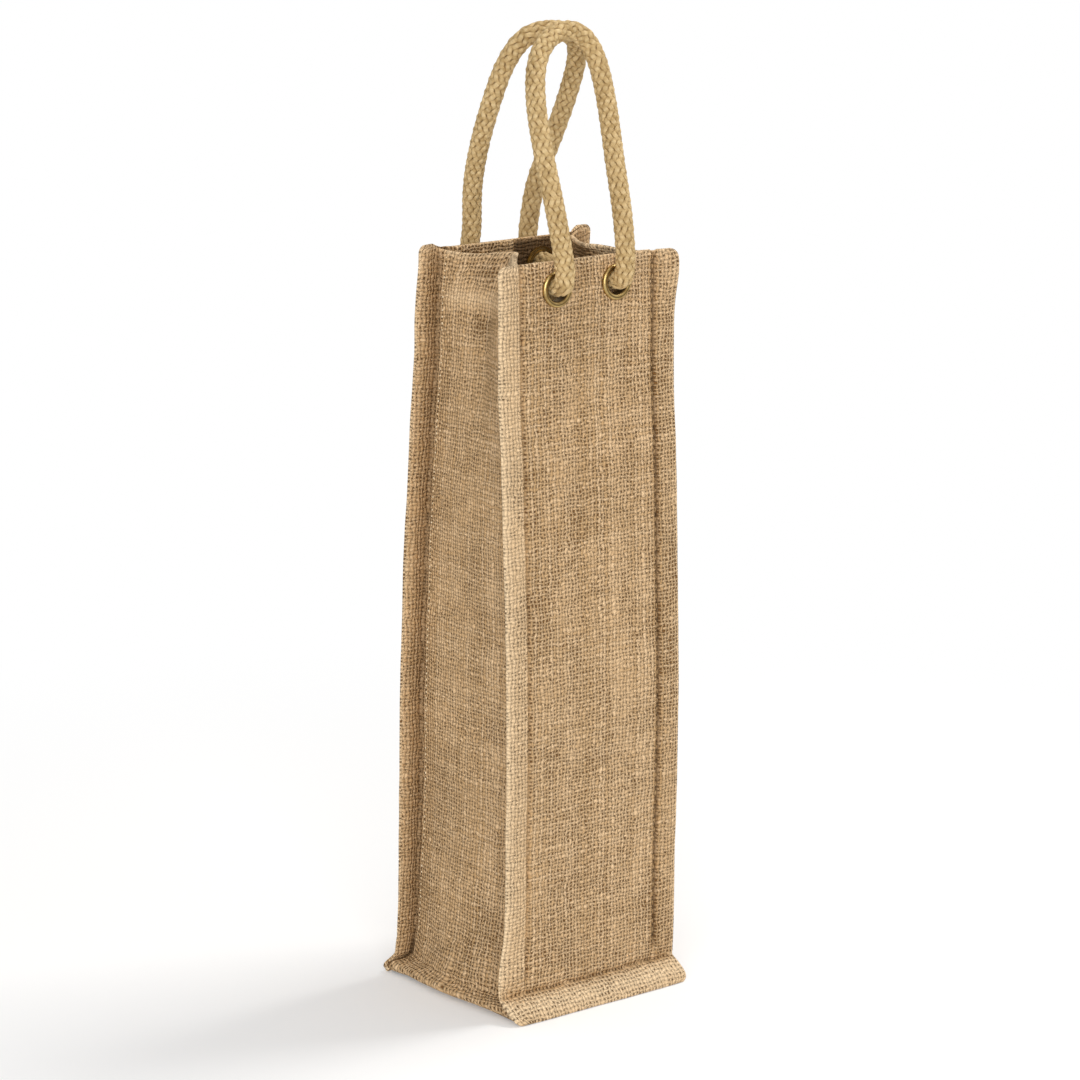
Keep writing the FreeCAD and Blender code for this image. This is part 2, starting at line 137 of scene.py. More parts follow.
class Graph:
    """A shader or geometry node tree that is written as expressions."""

    def __init__(self, tree: bpy.types.NodeTree) -> None:
        """Take over an empty tree."""
        self.tree = tree

    def feed(self, socket: bpy.types.NodeSocket, value: Any) -> None:
        """Link a wire to a socket, or set the socket's own value.

        Args:
            socket: The input.
            value: A wire, or a plain value.
        """
        if isinstance(value, Wire):
            self.tree.links.new(value.socket, socket)
        else:
            socket.default_value = value

    def node(self, kind: str, settings: dict[str, Any] | None = None,
             inputs: dict[str | int, Any] | None = None) -> bpy.types.Node:
        """Add a node.

        Args:
            kind: The node's type.
            settings: Properties that are set before any socket.
            inputs: Values or wires by socket name or number.

        Returns:
            The new node.
        """
        made = self.tree.nodes.new(kind)
        for name, value in (settings or {}).items():
            setattr(made, name, value)
        for key, value in (inputs or {}).items():
            self.feed(made.inputs[key], value)
        return made

    def wire(self, kind: str, settings: dict[str, Any] | None = None,
             inputs: dict[str | int, Any] | None = None, output: str | int = 0) -> Wire:
        """Add a node and return one of its outputs.

        Args:
            kind: The node's type.
            settings: Properties that are set before any socket.
            inputs: Values or wires by socket name or number.
            output: Name or number of the output.

        Returns:
            The chosen output.
        """
        return Wire(self, self.node(kind, settings, inputs).outputs[output])

    def math(self, operation: str, *values: "Wire | float") -> Wire:
        """Return one operation on numbers."""
        return self.wire("ShaderNodeMath", {"operation": operation}, dict(enumerate(values)))

    def vector(self, operation: str, *values: Any) -> Wire:
        """Return one operation on vectors."""
        return self.wire("ShaderNodeVectorMath", {"operation": operation}, dict(enumerate(values)))

    def scaled(self, vector: Wire, factor: "Wire | float") -> Wire:
        """Return a vector times a number."""
        return self.wire("ShaderNodeVectorMath", {"operation": "SCALE"}, {0: vector, "Scale": factor})

    def combine(self, x: "Wire | float", y: "Wire | float", z: "Wire | float" = 0.0) -> Wire:
        """Return a vector of three numbers."""
        return self.wire("ShaderNodeCombineXYZ", None, {0: x, 1: y, 2: z})

    def split(self, vector: Wire) -> tuple[Wire, Wire, Wire]:
        """Return a vector's three numbers."""
        made = self.node("ShaderNodeSeparateXYZ", None, {0: vector})
        return Wire(self, made.outputs[0]), Wire(self, made.outputs[1]), Wire(self, made.outputs[2])

    def mix(self, factor: "Wire | float", first: Any, second: Any, blend: str = "MIX") -> Wire:
        """Return a mix of two colours.

        Args:
            factor: Share of the second colour.
            first: First colour.
            second: Second colour.
            blend: How they are mixed.

        Returns:
            The mixed colour.
        """
        settings = {"data_type": "RGBA", "blend_type": blend, "clamp_factor": True}
        first, second = (value if isinstance(value, Wire) else (*value, 1.0) for value in (first, second))
        return self.wire("ShaderNodeMix", settings, {0: factor, 6: first, 7: second}, 2)

    def noise(self, vector: Wire, scale: float, detail: float = 2.0, roughness: float = 0.5) -> Wire:
        """Return smooth noise from 0 to 1."""
        inputs = {"Vector": vector, "Scale": scale, "Detail": detail, "Roughness": roughness}
        return self.wire("ShaderNodeTexNoise", None, inputs)

    def ramp(self, value: Wire, low: float, high: float, start: float = 0.0, end: float = 1.0) -> Wire:
        """Return a smooth step of a value.

        Args:
            value: The value.
            low: Value at which the step starts.
            high: Value at which it ends.
            start: Result below the step.
            end: Result above it.

        Returns:
            The stepped value.
        """
        inputs = {0: value, 1: low, 2: high, 3: start, 4: end}
        return self.wire("ShaderNodeMapRange", {"interpolation_type": "SMOOTHSTEP"}, inputs)

    def attribute(self, name: str) -> Wire:
        """Return a mesh attribute."""
        return self.wire("ShaderNodeAttribute", {"attribute_name": name}, None, "Fac")

    def place(self) -> Wire:
        """Return places in the object's own coordinates."""
        return self.wire("ShaderNodeTexCoord", None, None, "Object")

    def length(self, vector: Wire) -> Wire:
        """Return a vector's length."""
        return self.wire("ShaderNodeVectorMath", {"operation": "LENGTH"}, {0: vector}, "Value")

    def bump(self, strength: float, distance: float, height: Wire) -> Wire:
        """Return the normals of a surface with a fine relief."""
        inputs = {"Strength": strength, "Distance": distance, "Height": height}
        return self.wire("ShaderNodeBump", None, inputs)

    def stored(self, geometry: Wire, name: str, value: "Wire | float", kind: str = "FLOAT") -> Wire:
        """Keep a value on a geometry's points.

        Args:
            geometry: The points.
            name: The attribute's name.
            value: What it holds.
            kind: Its data type.

        Returns:
            The geometry with the attribute.
        """
        settings = {"data_type": kind, "domain": "POINT"}
        inputs = {"Geometry": geometry, "Name": name, "Value": value}
        return self.wire("GeometryNodeStoreNamedAttribute", settings, inputs)

    def background_rays(self) -> Wire:
        """Tell the rays that show the background from those that only light the part.

        Returns:
            1 for rays of the camera, of metal and of glass, and 0 for the rest.
        """
        path = self.node("ShaderNodeLightPath")
        seen = Wire(self, path.outputs["Is Camera Ray"])
        for label in ("Is Glossy Ray", "Is Transmission Ray"):
            seen = self.math("MAXIMUM", seen, Wire(self, path.outputs[label]))
        return seen


def new_material(name: str) -> tuple[bpy.types.Material, Graph, bpy.types.Node]:
    """Add a material with one Principled surface.

    Args:
        name: The material's name.

    Returns:
        The material, its tree and its surface node.
    """
    material = bpy.data.materials.new(name)
    material.use_nodes = True
    material.node_tree.nodes.clear()
    graph = Graph(material.node_tree)
    surface = graph.node("ShaderNodeBsdfPrincipled")
    graph.node("ShaderNodeOutputMaterial", None, {"Surface": Wire(graph, surface.outputs[0])})
    return material, graph, surface


@dataclass(frozen=True)
class JuteFinish:
    """Coarse plain-woven jute: round uneven yarns with painted shade at their edges, gaps between them
    painted dark as shade, pale edges from wear, and light and shade painted from the mesh's worn attribute.
    """

    name: str = "jute_cloth"
    pale: Colour = (0.81, 0.57, 0.335)
    deep: Colour = (0.56, 0.355, 0.172)
    # gap_shade: painted shade, the dark brown of the gaps between the yarns and of the grooves
    gap_shade: Colour = (0.19, 0.092, 0.030)
    # bleached_and_painted_light: pale tone where wear has bleached the cloth and where light is painted on
    bleached_and_painted_light: Colour = (0.90, 0.68, 0.43)
    pitch_across: float = 0.0020
    pitch_along: float = 0.00188
    yarn_share: float = 0.350
    close_share: float = 0.12
    rubbed_and_painted_light_share: float = 0.04
    round_share: float = 0.7
    lift_share: float = 0.5
    slub_share: float = 0.20
    slub_step: float = 3.7
    slub_stretch: float = 0.11
    fibre_scale: float = 5.0
    fibre_stretch: float = 0.9
    hole_share: float = 0.38
    hole_scale: float = 0.75
    patch_scale: float = 17.0
    zone_share: float = 0.28
    drift_share: float = 1.6
    drift_scale: float = 48.0
    jitter_share: float = 1.25
    jitter_scale: float = 225.0
    zone_scale: float = 36.0
    relief: float = 0.0013

    def yarn_places(self, graph: Graph, cloth: Wire) -> tuple[Wire, Wire]:
        """Count the cloth's yarns, which drift and jitter.

        Args:
            graph: The material's tree.
            cloth: Places on the cloth's map.

        Returns:
            Places across and along the cloth, in yarns.
        """
        across, along, _ = graph.split(cloth)
        u, v = across / self.pitch_across, along / self.pitch_along
        kinds = ((self.drift_scale, 3.0, self.drift_share), (self.jitter_scale, 1.0, self.jitter_share))
        for scale, detail, share in kinds:
            inputs = {"Vector": cloth, "Scale": scale, "Detail": detail}
            shift_across, shift_along, _ = graph.split(graph.wire("ShaderNodeTexNoise", None, inputs, 1))
            u = u + (shift_across - 0.5) * share
            v = v + (shift_along - 0.5) * share
        return u, v

    def material(self) -> bpy.types.Material:
        """Build the weave on the cloth's own map.

        Returns:
            The cloth's material.
        """
        material, graph, surface = new_material(self.name)
        cloth = graph.wire("ShaderNodeUVMap", {"uv_map": CLOTH_MAP})
        u, v = self.yarn_places(graph, cloth)
        zone = (graph.noise(cloth, self.zone_scale, 3.0, 0.6) - 0.5) * self.zone_share
        zone = zone + (graph.noise(graph.combine(u, v, 3.0), self.hole_scale, 1.0) - 0.5) * self.hole_share
        # worn: above 0 where wear, paling and painted light make the cloth paler, below 0 where shade is
        # painted
        worn, close = graph.attribute("worn"), graph.attribute("close")
        rubbed_and_painted_light = graph.math("MAXIMUM", worn, 0.0)
        zone = zone + rubbed_and_painted_light * self.rubbed_and_painted_light_share + close * self.close_share

        # round yarns that pass over and under each other
        warp = graph.math("FLOOR", u)
        weft = graph.math("FLOOR", v)
        off_warp = u - warp - 0.5
        off_weft = v - weft - 0.5
        turn = 1.0 - 2.0 * graph.math("FLOORED_MODULO", warp + weft, 2.0)
        slub_warp = graph.noise(graph.combine(warp * self.slub_step, v * self.slub_stretch), 1.0, 2.0)
        slub_weft = graph.noise(graph.combine(u * self.slub_stretch, weft * self.slub_step, 9.0), 1.0, 2.0)
        half_warp = self.yarn_share + zone + (slub_warp - 0.5) * self.slub_share
        half_weft = self.yarn_share + zone + (slub_weft - 0.5) * self.slub_share
        round_warp = 1.0 - graph.math("POWER", graph.math("ABSOLUTE", off_warp) / half_warp, 2.0)
        round_weft = 1.0 - graph.math("POWER", graph.math("ABSOLUTE", off_weft) / half_weft, 2.0)
        lift_warp = graph.math("COSINE", off_weft * math.pi) * turn
        lift_weft = graph.math("COSINE", off_warp * math.pi) * turn
        top_warp = round_warp * self.round_share + lift_warp * self.lift_share
        top_weft = round_weft * self.round_share - lift_weft * self.lift_share
        top = graph.math("MAXIMUM", top_warp, top_weft)
        on_warp = graph.math("GREATER_THAN", top_warp, top_weft)

        # tones and fibres of the yarn on top
        tone_warp = graph.wire("ShaderNodeTexWhiteNoise", {"noise_dimensions": "1D"}, {"W": warp})
        tone_weft = graph.wire("ShaderNodeTexWhiteNoise", {"noise_dimensions": "1D"}, {"W": weft + 317.0})
        tone_warp = tone_warp * 0.35 + slub_warp * 0.5 + 0.075
        tone_weft = tone_weft * 0.2 + slub_weft * 0.4 + 0.2
        tone = tone_weft + on_warp * (tone_warp - tone_weft)
        # crown_highlight: roundness of the yarn on top, which paints light on its crown and shade at its
        # edges
        crown_highlight = round_weft + on_warp * (round_warp - round_weft)
        fine, long = self.fibre_scale, self.fibre_stretch
        fibre_warp = graph.noise(graph.combine(u * fine, v * long), 1.0, 2.0, 0.7)
        fibre_weft = graph.noise(graph.combine(u * long, v * fine, 5.0), 1.0, 2.0, 0.7)
        fibre = fibre_weft + on_warp * (fibre_warp - fibre_weft)

        # colour: the yarns' tones, wear with painted light and shade, painted shade at the yarns' edges and
        # in the gaps between the yarns
        patch = graph.noise(cloth, self.patch_scale, 3.0, 0.6)
        colour = graph.mix(graph.ramp(tone, 0.25, 0.8), self.deep, self.pale)
        colour = graph.mix(rubbed_and_painted_light, colour, self.bleached_and_painted_light)
        # painted shade at the yarns' rounded edges, times the fibres' and patches' own tone
        shade = (0.66 + 0.34 * graph.ramp(crown_highlight, 0.0, 0.7)) * (0.82 + 0.36 * fibre) * (0.86 + 0.28 * patch)
        colour = graph.mix(1.0, colour, graph.combine(shade, shade, shade), "MULTIPLY")
        # painted shade where the worn attribute is below 0: towards the gap_shade colour, then towards black
        groove = graph.ramp(-worn, 0.0, 1.0, 0.0, 0.75)
        colour = graph.mix(groove, colour, self.gap_shade)
        colour = graph.mix(graph.ramp(-worn, 0.6, 1.0, 0.0, 0.5), colour, (0.0, 0.0, 0.0))
        # painted shade in the gaps between the yarns
        open_gap = graph.ramp(top, -0.42, 0.12)
        colour = graph.mix(open_gap + rubbed_and_painted_light * 0.1, self.gap_shade, colour)
        height = graph.math("MAXIMUM", top, -0.6) + fibre * 0.25
        graph.feed(surface.inputs["Base Color"], colour)
        graph.feed(surface.inputs["Normal"], graph.bump(0.9, self.relief, height))
        surface.inputs["Roughness"].default_value = 0.9
        surface.inputs["Specular IOR Level"].default_value = 0.1
        return material


@dataclass(frozen=True)
class RopeFinish:
    """Plaited cream cotton and jute rope, with each strand a little lighter or darker, painted highlights on
    the strands' crowns and painted shade between the strands and on the core.
    """

    name: str = "plaited_rope"
    pale: Colour = (0.60, 0.43, 0.21)
    deep: Colour = (0.38, 0.25, 0.10)
    # fleck_and_gap_shade: dark fibre flecks, and painted shade where strands pass under and on the core
    fleck_and_gap_shade: Colour = (0.19, 0.105, 0.035)
    # crown_highlight: painted highlight where the strands cross over
    crown_highlight: Colour = (0.80, 0.64, 0.38)
    streak_scale: float = 420.0
    fuzz_scale: float = 1500.0
    stain_scale: float = 60.0
    relief: float = 0.0004

    def material(self) -> bpy.types.Material:
        """Build the strands' colour on their own attributes.

        Returns:
            The rope's material.
        """
        material, graph, surface = new_material(self.name)
        strand = graph.attribute("strand")
        along = graph.attribute("along")
        lift = graph.attribute("lift")
        place = graph.place()
        own = graph.wire("ShaderNodeTexWhiteNoise", {"noise_dimensions": "1D"}, {"W": strand})
        streak = graph.noise(graph.combine(strand * 3.3, along * self.streak_scale), 1.0, 3.0, 0.6)
        fuzz = graph.noise(place, self.fuzz_scale, 3.0, 0.7)
        stain = graph.noise(place, self.stain_scale, 3.0, 0.6)
        tone = own * 0.25 + streak * 0.5 + stain * 0.25
        colour = graph.mix(graph.ramp(tone, 0.25, 0.72), self.deep, self.pale)
        colour = graph.mix(graph.ramp(fuzz, 0.52, 0.76, 0.0, 0.6), colour, self.fleck_and_gap_shade)
        # painted highlight on the crossing strands, painted shade where they pass under and on the core
        painted_light_mask = lift + (streak - 0.5) * 1.2
        colour = graph.mix(graph.ramp(painted_light_mask, 0.5, 1.2, 0.0, 0.35), colour, self.crown_highlight)
        colour = graph.mix(graph.ramp(painted_light_mask, -0.75, 0.25, 0.65, 0.0), colour, self.fleck_and_gap_shade)
        graph.feed(surface.inputs["Base Color"], colour)
        graph.feed(surface.inputs["Normal"], graph.bump(0.9, self.relief, fuzz))
        surface.inputs["Roughness"].default_value = 0.8
        surface.inputs["Specular IOR Level"].default_value = 0.25
        return material


@dataclass(frozen=True)
class BrassFinish:
    """Aged brass, brighter where rubbing has polished it and browner in patches, with a dark ring in its
    hollow and painted shade inside its bore.
    """

    name: str = "aged_brass"
    bright: Colour = (0.58, 0.42, 0.17)
    brown: Colour = (0.27, 0.17, 0.06)
    # hollow_dark_and_bore_shade: dark of the ring's hollow, and painted shade inside the bore
    hollow_dark_and_bore_shade: Colour = (0.07, 0.042, 0.016)
    patch_scale: float = 190.0
    scratch_scale: float = 2600.0
    relief: float = 0.00008
    hollow: float = 0.00705
    hollow_reach: float = 0.0006
    hollow_drift: float = 0.0008
    # bore: radii inside which shade is painted into the barrel
    bore: Span = (0.0057, 0.0062)

    def material(self, label: str, centre: Vector) -> bpy.types.Material:
        """Build the metal of one ring.

        Args:
            label: Name of the ring.
            centre: Middle of the ring, whose axis runs from front to back.

        Returns:
            The material.
        """
        material, graph, surface = new_material(f"{self.name}_{label}")
        place = graph.place()
        patch = graph.noise(place, self.patch_scale, 4.0, 0.65)
        scratch = graph.noise(place, self.scratch_scale, 2.0)
        x, _, z = graph.split(place)
        spoke = graph.combine(x - centre.x, 0.0, z - centre.z)
        radius = graph.length(spoke)
        from_hollow = graph.math("ABSOLUTE", radius - self.hollow)
        dark = graph.ramp(from_hollow + (patch - 0.5) * self.hollow_drift, 0.0, self.hollow_reach, 0.85, 0.0)
        colour = graph.mix(graph.ramp(patch, 0.35, 0.7), self.bright, self.brown)
        # painted shade inside the bore
        dark = graph.math("MAXIMUM", dark, graph.ramp(radius, *self.bore, 0.8, 0.0))
        colour = graph.mix(dark, colour, self.hollow_dark_and_bore_shade)
        graph.feed(surface.inputs["Base Color"], colour)
        graph.feed(surface.inputs["Roughness"], graph.ramp(patch, 0.3, 0.75, 0.2, 0.42) + dark * 0.35)
        graph.feed(surface.inputs["Normal"], graph.bump(0.35, self.relief, scratch))
        surface.inputs["Metallic"].default_value = 1.0
        return material


@dataclass(frozen=True)
class ThreadFinish:
    """Twisted jute sewing thread."""

    name: str = "jute_thread"
    pale: Colour = (0.56, 0.38, 0.19)
    deep: Colour = (0.34, 0.20, 0.085)
    grain_scale: float = 700.0

    def material(self) -> bpy.types.Material:
        """Build the thread's uneven colour.

        Returns:
            The thread's material.
        """
        material, graph, surface = new_material(self.name)
        place = graph.place()
        grain = graph.noise(place, self.grain_scale, 2.0)
        graph.feed(surface.inputs["Base Color"], graph.mix(graph.ramp(grain, 0.3, 0.7), self.deep, self.pale))
        surface.inputs["Roughness"].default_value = 0.85
        surface.inputs["Specular IOR Level"].default_value = 0.2
        return material


@dataclass(frozen=True)
class FloorFinish:
    """White studio floor that shows as white and keeps the shadow."""

    name: str = "studio_floor"
    paint: Colour = (0.95, 0.95, 0.95)
    white_share: float = 0.20
    near: float = 0.24
    far: float = 0.62

    def material(self) -> bpy.types.Material:
        """Build the floor's paint.

        Returns:
            The floor's material.
        """
        material, graph, surface = new_material(self.name)
        surface.inputs["Base Color"].default_value = (*self.paint, 1.0)
        surface.inputs["Roughness"].default_value = 0.9
        surface.inputs["Specular IOR Level"].default_value = 0.0
        white = graph.wire("ShaderNodeEmission", None, {"Color": (1.0, 1.0, 1.0, 1.0), "Strength": 1.0})
        seen = graph.background_rays()
        place = graph.place()
        away = graph.length(place)
        share = graph.ramp(away, self.near, self.far, self.white_share, 1.0)
        paint = Wire(graph, surface.outputs[0])
        both = graph.wire("ShaderNodeMixShader", None, {0: seen * share, 1: paint, 2: white})
        output = next(item for item in graph.tree.nodes if item.type == "OUTPUT_MATERIAL")
        graph.feed(output.inputs["Surface"], both)
        return material


def step_up(low: float, high: float, values: Grid) -> Grid:
    """Return a smooth step from 0 at low to 1 at high."""
    share = np.clip((values - low) / (high - low), 0.0, 1.0)
    return share * share * (3.0 - 2.0 * share)


def step_down(low: float, high: float, values: Grid) -> Grid:
    """Return a smooth step from 1 at low to 0 at high."""
    return 1.0 - step_up(low, high, values)


def hump(values: Grid, middle: float, reach: float) -> Grid:
    """Return a bell of height 1 round a place."""
    return np.exp(-((values - middle) / reach) ** 2)


def softened(values: Grid, steps: float) -> Grid:
    """Blur rows of values along their first axis and keep their ends.

    Args:
        values: Values, with the rows first.
        steps: Reach of the blur in rows.

    Returns:
        The blurred values.
    """
    reach = int(math.ceil(steps * 3))
    kernel = np.exp(-0.5 * (np.arange(-reach, reach + 1) / steps) ** 2)
    kernel /= kernel.sum()
    before = 2 * values[:1] - values[reach:0:-1]
    after = 2 * values[-1:] - values[-2:-reach - 2:-1]
    padded = np.concatenate([before, values, after])
    return sum(weight * padded[index:index + len(values)] for index, weight in enumerate(kernel))


def grid_lines(stops: Sequence[Span]) -> Grid:
    """Return places of grid lines.

    Args:
        stops: Places in order, each with the spacing from it to the next.

    Returns:
        The places of the lines, first and last stop included.
    """
    lines = []
    for (start, spacing), (end, _) in zip(stops, stops[1:]):
        count = max(1, round((end - start) / spacing))
        lines.append(np.linspace(start, end, count, endpoint=False))
    return np.append(np.concatenate(lines), stops[-1][0])


def edge_stops(end: float) -> list[Span]:
    """Return the last stops of grid lines, which come close together at a round edge."""
    return [(end - BEND_WIDTH, BEND_SPACING), (end - EDGE_WIDTH, EDGE_SPACING), (end, 0.0)]


def way_along(path: Grid) -> Grid:
    """Return the way along a path at each of its points."""
    return np.append(0.0, np.cumsum(np.linalg.norm(np.diff(path, axis=0), axis=1)))


def lumps(points: Grid, size: float, seed: float) -> Grid:
    """Return smooth unevenness from -1 to 1 at each point.

    Args:
        points: Points in rows and columns.
        size: Size of a lump.
        seed: Place in the unevenness, so that pieces differ.

    Returns:
        One value for each point.
    """
    flat = points.reshape(-1, 3) / size + seed
    values = np.array([noise.noise(Vector(point)) for point in flat])
    return values.reshape(points.shape[:-1])


def edge_rounding(distance: Grid, radius: float) -> Grid:
    """Return the share of a sheet's thickness that is left near its rounded edge."""
    share = 1.0 - np.clip(distance / radius, 0.0, 1.0)
    return np.sqrt(1.0 - share * share)


def round_corners(*ends: tuple[float, Grid]) -> Grid:
    """Return how far a sheet's side edges are drawn in at its round corners.

    Args:
        ends: Radius of the corners at an end, with the distances from that end.

    Returns:
        Distances inward.
    """
    return sum(radius * (1.0 - edge_rounding(away, radius)) for radius, away in ends)


def middle_of(node: str) -> Vector:
    """Return the middle of a node's box."""
    low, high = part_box(node)
    return (low + high) / 2


def add_piece(name: str, mesh: bpy.types.Mesh) -> bpy.types.Object:
    """Add a mesh to the scene as an object at the origin.

    Args:
        name: The piece's name.
        mesh: Its mesh.

    Returns:
        The new object.
    """
    made = bpy.data.objects.new(name, mesh)
    bpy.context.scene.collection.objects.link(made)
    return made


@dataclass
class ClothShell:
    """A closed shell of cloth over a grid of points: its face, its lining and the round edge between."""

    name: str
    points: Grid
    face: Grid
    lining: Grid
    across: Grid
    along: Grid
    # worn: above 0 for wear, paling and painted light, below 0 for painted shade; one grid for the face and
    # one for the lining
    worn: Grid
    worn_inside: Grid
    close: Grid
    kept: Grid
    face_points: Grid = field(init=False)

    def normals(self) -> Grid:
        """Find the grid's normals, on the side where columns turn to rows.

        Returns:
            A unit vector at each point.
        """
        down_rows = np.gradient(self.points, axis=0)
        down_columns = np.gradient(self.points, axis=1)
        crossed = np.cross(down_columns, down_rows)
        return crossed / np.linalg.norm(crossed, axis=-1, keepdims=True)

    def build(self) -> bpy.types.Object:
        """Make the shell's mesh, with its map, its wear and its painted light and shade.

        Returns:
            The new object.
        """
        rows, columns = self.face.shape
        normals = self.normals()
        self.face_points = self.points + normals * self.face[..., None]
        lining_points = self.points - normals * self.lining[..., None]
        front = np.arange(rows * columns).reshape(rows, columns)
        back = front + rows * columns
        rim = np.zeros((rows, columns), bool)
        rim[0] = rim[-1] = rim[:, 0] = rim[:, -1] = True
        back[rim] = front[rim]
        quads = []
        for layer, turned in ((front, False), (back, True)):
            corners = [layer[:-1, :-1], layer[:-1, 1:], layer[1:, 1:], layer[1:, :-1]]
            if turned:
                corners.reverse()
            quads.append(np.stack(corners, -1)[self.kept])
        quads.append(self.hole_walls(front, back))
        faces = np.concatenate(quads)
        places = np.concatenate([self.face_points.reshape(-1, 3), lining_points.reshape(-1, 3)])
        cloth = np.stack(np.broadcast_arrays(self.across, self.along), -1).reshape(-1, 2)
        cloth = np.concatenate([cloth, cloth])
        marks = {
            "worn": np.concatenate([self.worn.ravel(), self.worn_inside.ravel()]),
            "close": np.concatenate([self.close.ravel(), self.close.ravel()]),
        }
        used, faces = np.unique(faces, return_inverse=True)
        faces = faces.reshape(-1, 4)
        mesh = bpy.data.meshes.new(self.name)
        mesh.from_pydata(places[used].tolist(), [], faces.tolist())
        mesh.uv_layers.new(name=CLOTH_MAP).data.foreach_set("uv", cloth[used][faces.ravel()].ravel())
        for label, values in marks.items():
            attribute = mesh.attributes.new(label, "FLOAT", "POINT")
            attribute.data.foreach_set("value", np.clip(values[used], -1.0, 1.0).astype(np.float32))
        mesh.polygons.foreach_set("use_smooth", [True] * len(mesh.polygons))
        mesh.validate()
        return add_piece(self.name, mesh)

    def dressed(self, finish: bpy.types.Material, node: str) -> bpy.types.Object:
        """Make the shell's piece, which rides on the bag in place of a node.

        Args:
            finish: The cloth's material.
            node: Name of the node.

        Returns:
            The piece.
        """
        piece = self.build()
        piece.data.materials.append(finish)
        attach(piece, "bag")
        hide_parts(node)
        return piece

    def hole_walls(self, front: Grid, back: Grid) -> Grid:
        """Return the quads that join face and lining round each hole.

        Args:
            front: Numbers of the face's points.
            back: Numbers of the lining's points.

        Returns:
            Four point numbers for each quad.
        """
        walls = []
        for row, column in np.argwhere(~self.kept):
            sides = (
                ((row - 1, column), (row, column), (row, column + 1)),
                ((row + 1, column), (row + 1, column + 1), (row + 1, column)),
                ((row, column - 1), (row + 1, column), (row, column)),
                ((row, column + 1), (row, column + 1), (row + 1, column + 1)),
            )
            for beside, start, end in sides:
                if self.kept[beside]:
                    walls.append((front[start], front[end], back[end], back[start]))
        return np.array(walls, int).reshape(-1, 4)


class Bell(NamedTuple):
    """A smooth bump: its height, its middle and its reach."""

    height: float
    middle: float
    reach: float

    def at(self, values: Grid) -> Grid:
        """Return the bump at each value."""
        return self.height * hump(values, self.middle, self.reach)


class Lumps(NamedTuple):
    """Smooth unevenness: its share, the size of a lump, its seed and its squeeze in height."""

    share: float
    size: float
    seed: float
    squeeze: float = 1.0

    def at(self, points: Grid) -> Grid:
        """Return the unevenness at each point."""
        return self.share * lumps(points * np.array([1.0, 1.0, self.squeeze]), self.size, self.seed)


@dataclass
class BagForm:
    """Outline of the sewn bag, which its panels and gussets share."""

    SWAY: ClassVar[dict[Side, list[Bell]]] = {
        Side.FRONT: [Bell(-0.0010, 0.292, 0.022)],
        Side.BACK: [Bell(0.0008, 0.212, 0.020), Bell(-0.0010, 0.305, 0.018)],
    }
    CURL: ClassVar[dict[Side, Span]] = {
        Side.FRONT: (0.0006, 0.0042),
        Side.BACK: (-0.0016, 0.0010),
    }

    height: float
    half_width: float
    side_fin: float = 0.013
    body_out: float = 0.042
    mouth_out: float = 0.0305
    bow_low: float = 0.120
    bow_high: float = 0.180
    knee_up: float = 0.0105
    bottom_fin: float = 0.0125
    flare: float = math.radians(40)
    cloth: float = 0.0015
    seam_gap: float = 0.0002
    hem: float = 0.028
    hem_edge: float = 0.0008
    spread_bell: Bell = Bell(1.0, 0.016, 0.016)
    edge_width: float = 0.012
    curl_start: Span = (0.001, -0.004)
    curl_drop: float = 0.007
    curl_reach: float = 0.016
    toe_draw: float = 0.0034
    toe_width: float = 0.024
    toe_out: Span = (0.020, 0.047)
    toe_up: Span = (0.001, 0.017)
    ear_rise: Span = (0.0018, 0.0026)
    ear_start: Span = (-0.001, 0.006)
    ear_height: float = 0.020

    @property
    def seam(self) -> float:
        """Distance of the side seams from the middle."""
        return self.half_width - self.side_fin

    def out(self, side: Side, up: Grid) -> Grid:
        """Return how far a panel's face stands out from the middle plane.

        Args:
            side: Front or back.
            up: Heights.

        Returns:
            One distance for each height.
        """
        bow_middle = (self.bow_low + self.bow_high) / 2
        lean = (self.body_out - self.mouth_out) / (self.height - bow_middle)
        bend = np.clip(up - self.bow_low, 0.0, self.bow_high - self.bow_low)
        run = bend * bend / (2 * (self.bow_high - self.bow_low)) + np.clip(up - self.bow_high, 0.0, None)
        return self.body_out - lean * run + sum(bell.at(up) for bell in self.SWAY[side])

    def near_edge(self, across: Grid) -> Grid:
        """Return a step from 0 to 1 over the outer part of the side fins."""
        return step_up(self.half_width - self.edge_width, self.half_width, across)

    def curl(self, side: Side, across: Grid, up: Grid) -> Grid:
        """Return how far the top corners of the side fins bend out of their panel.

        Args:
            side: Front or back.
            across: Places across the panel.
            up: Heights.

        Returns:
            Distances outward.
        """
        bent = [reach * step_up(self.seam + start, self.half_width, hand.value * across)
                for hand, reach, start in zip(Hand, self.CURL[side], self.curl_start)]
        return sum(bent) * hump(up, self.height - self.curl_drop, self.curl_reach)

    def toe(self, out: Grid, across: Grid, up: Grid) -> Grid:
        """Return how far the foot of the back left corner is drawn forward.

        Args:
            out: Distances from the middle plane towards the back.
            across: Places across the panel.
            up: Heights.

        Returns:
            Distances forward.
        """
        corner = step_up(self.half_width - self.toe_width, self.half_width, -across)
        return self.toe_draw * corner * step_up(*self.toe_out, out) * step_down(*self.toe_up, up)

    def ears(self, side: Side, across: Grid, up: Grid) -> Grid:
        """Return how far the top corners of the back fins stand up above the rim.

        Args:
            side: Front or back.
            across: Places across the panel.
            up: Heights.

        Returns:
            Distances upward.
        """
        if side is Side.FRONT:
            return np.zeros_like(up)
        low, high = (self.seam + start for start in self.ear_start)
        raised = [rise * step_up(low, high, hand.value * across) for hand, rise in zip(Hand, self.ear_rise)]
        return sum(raised) * step_up(self.height - self.ear_height, self.height, up)


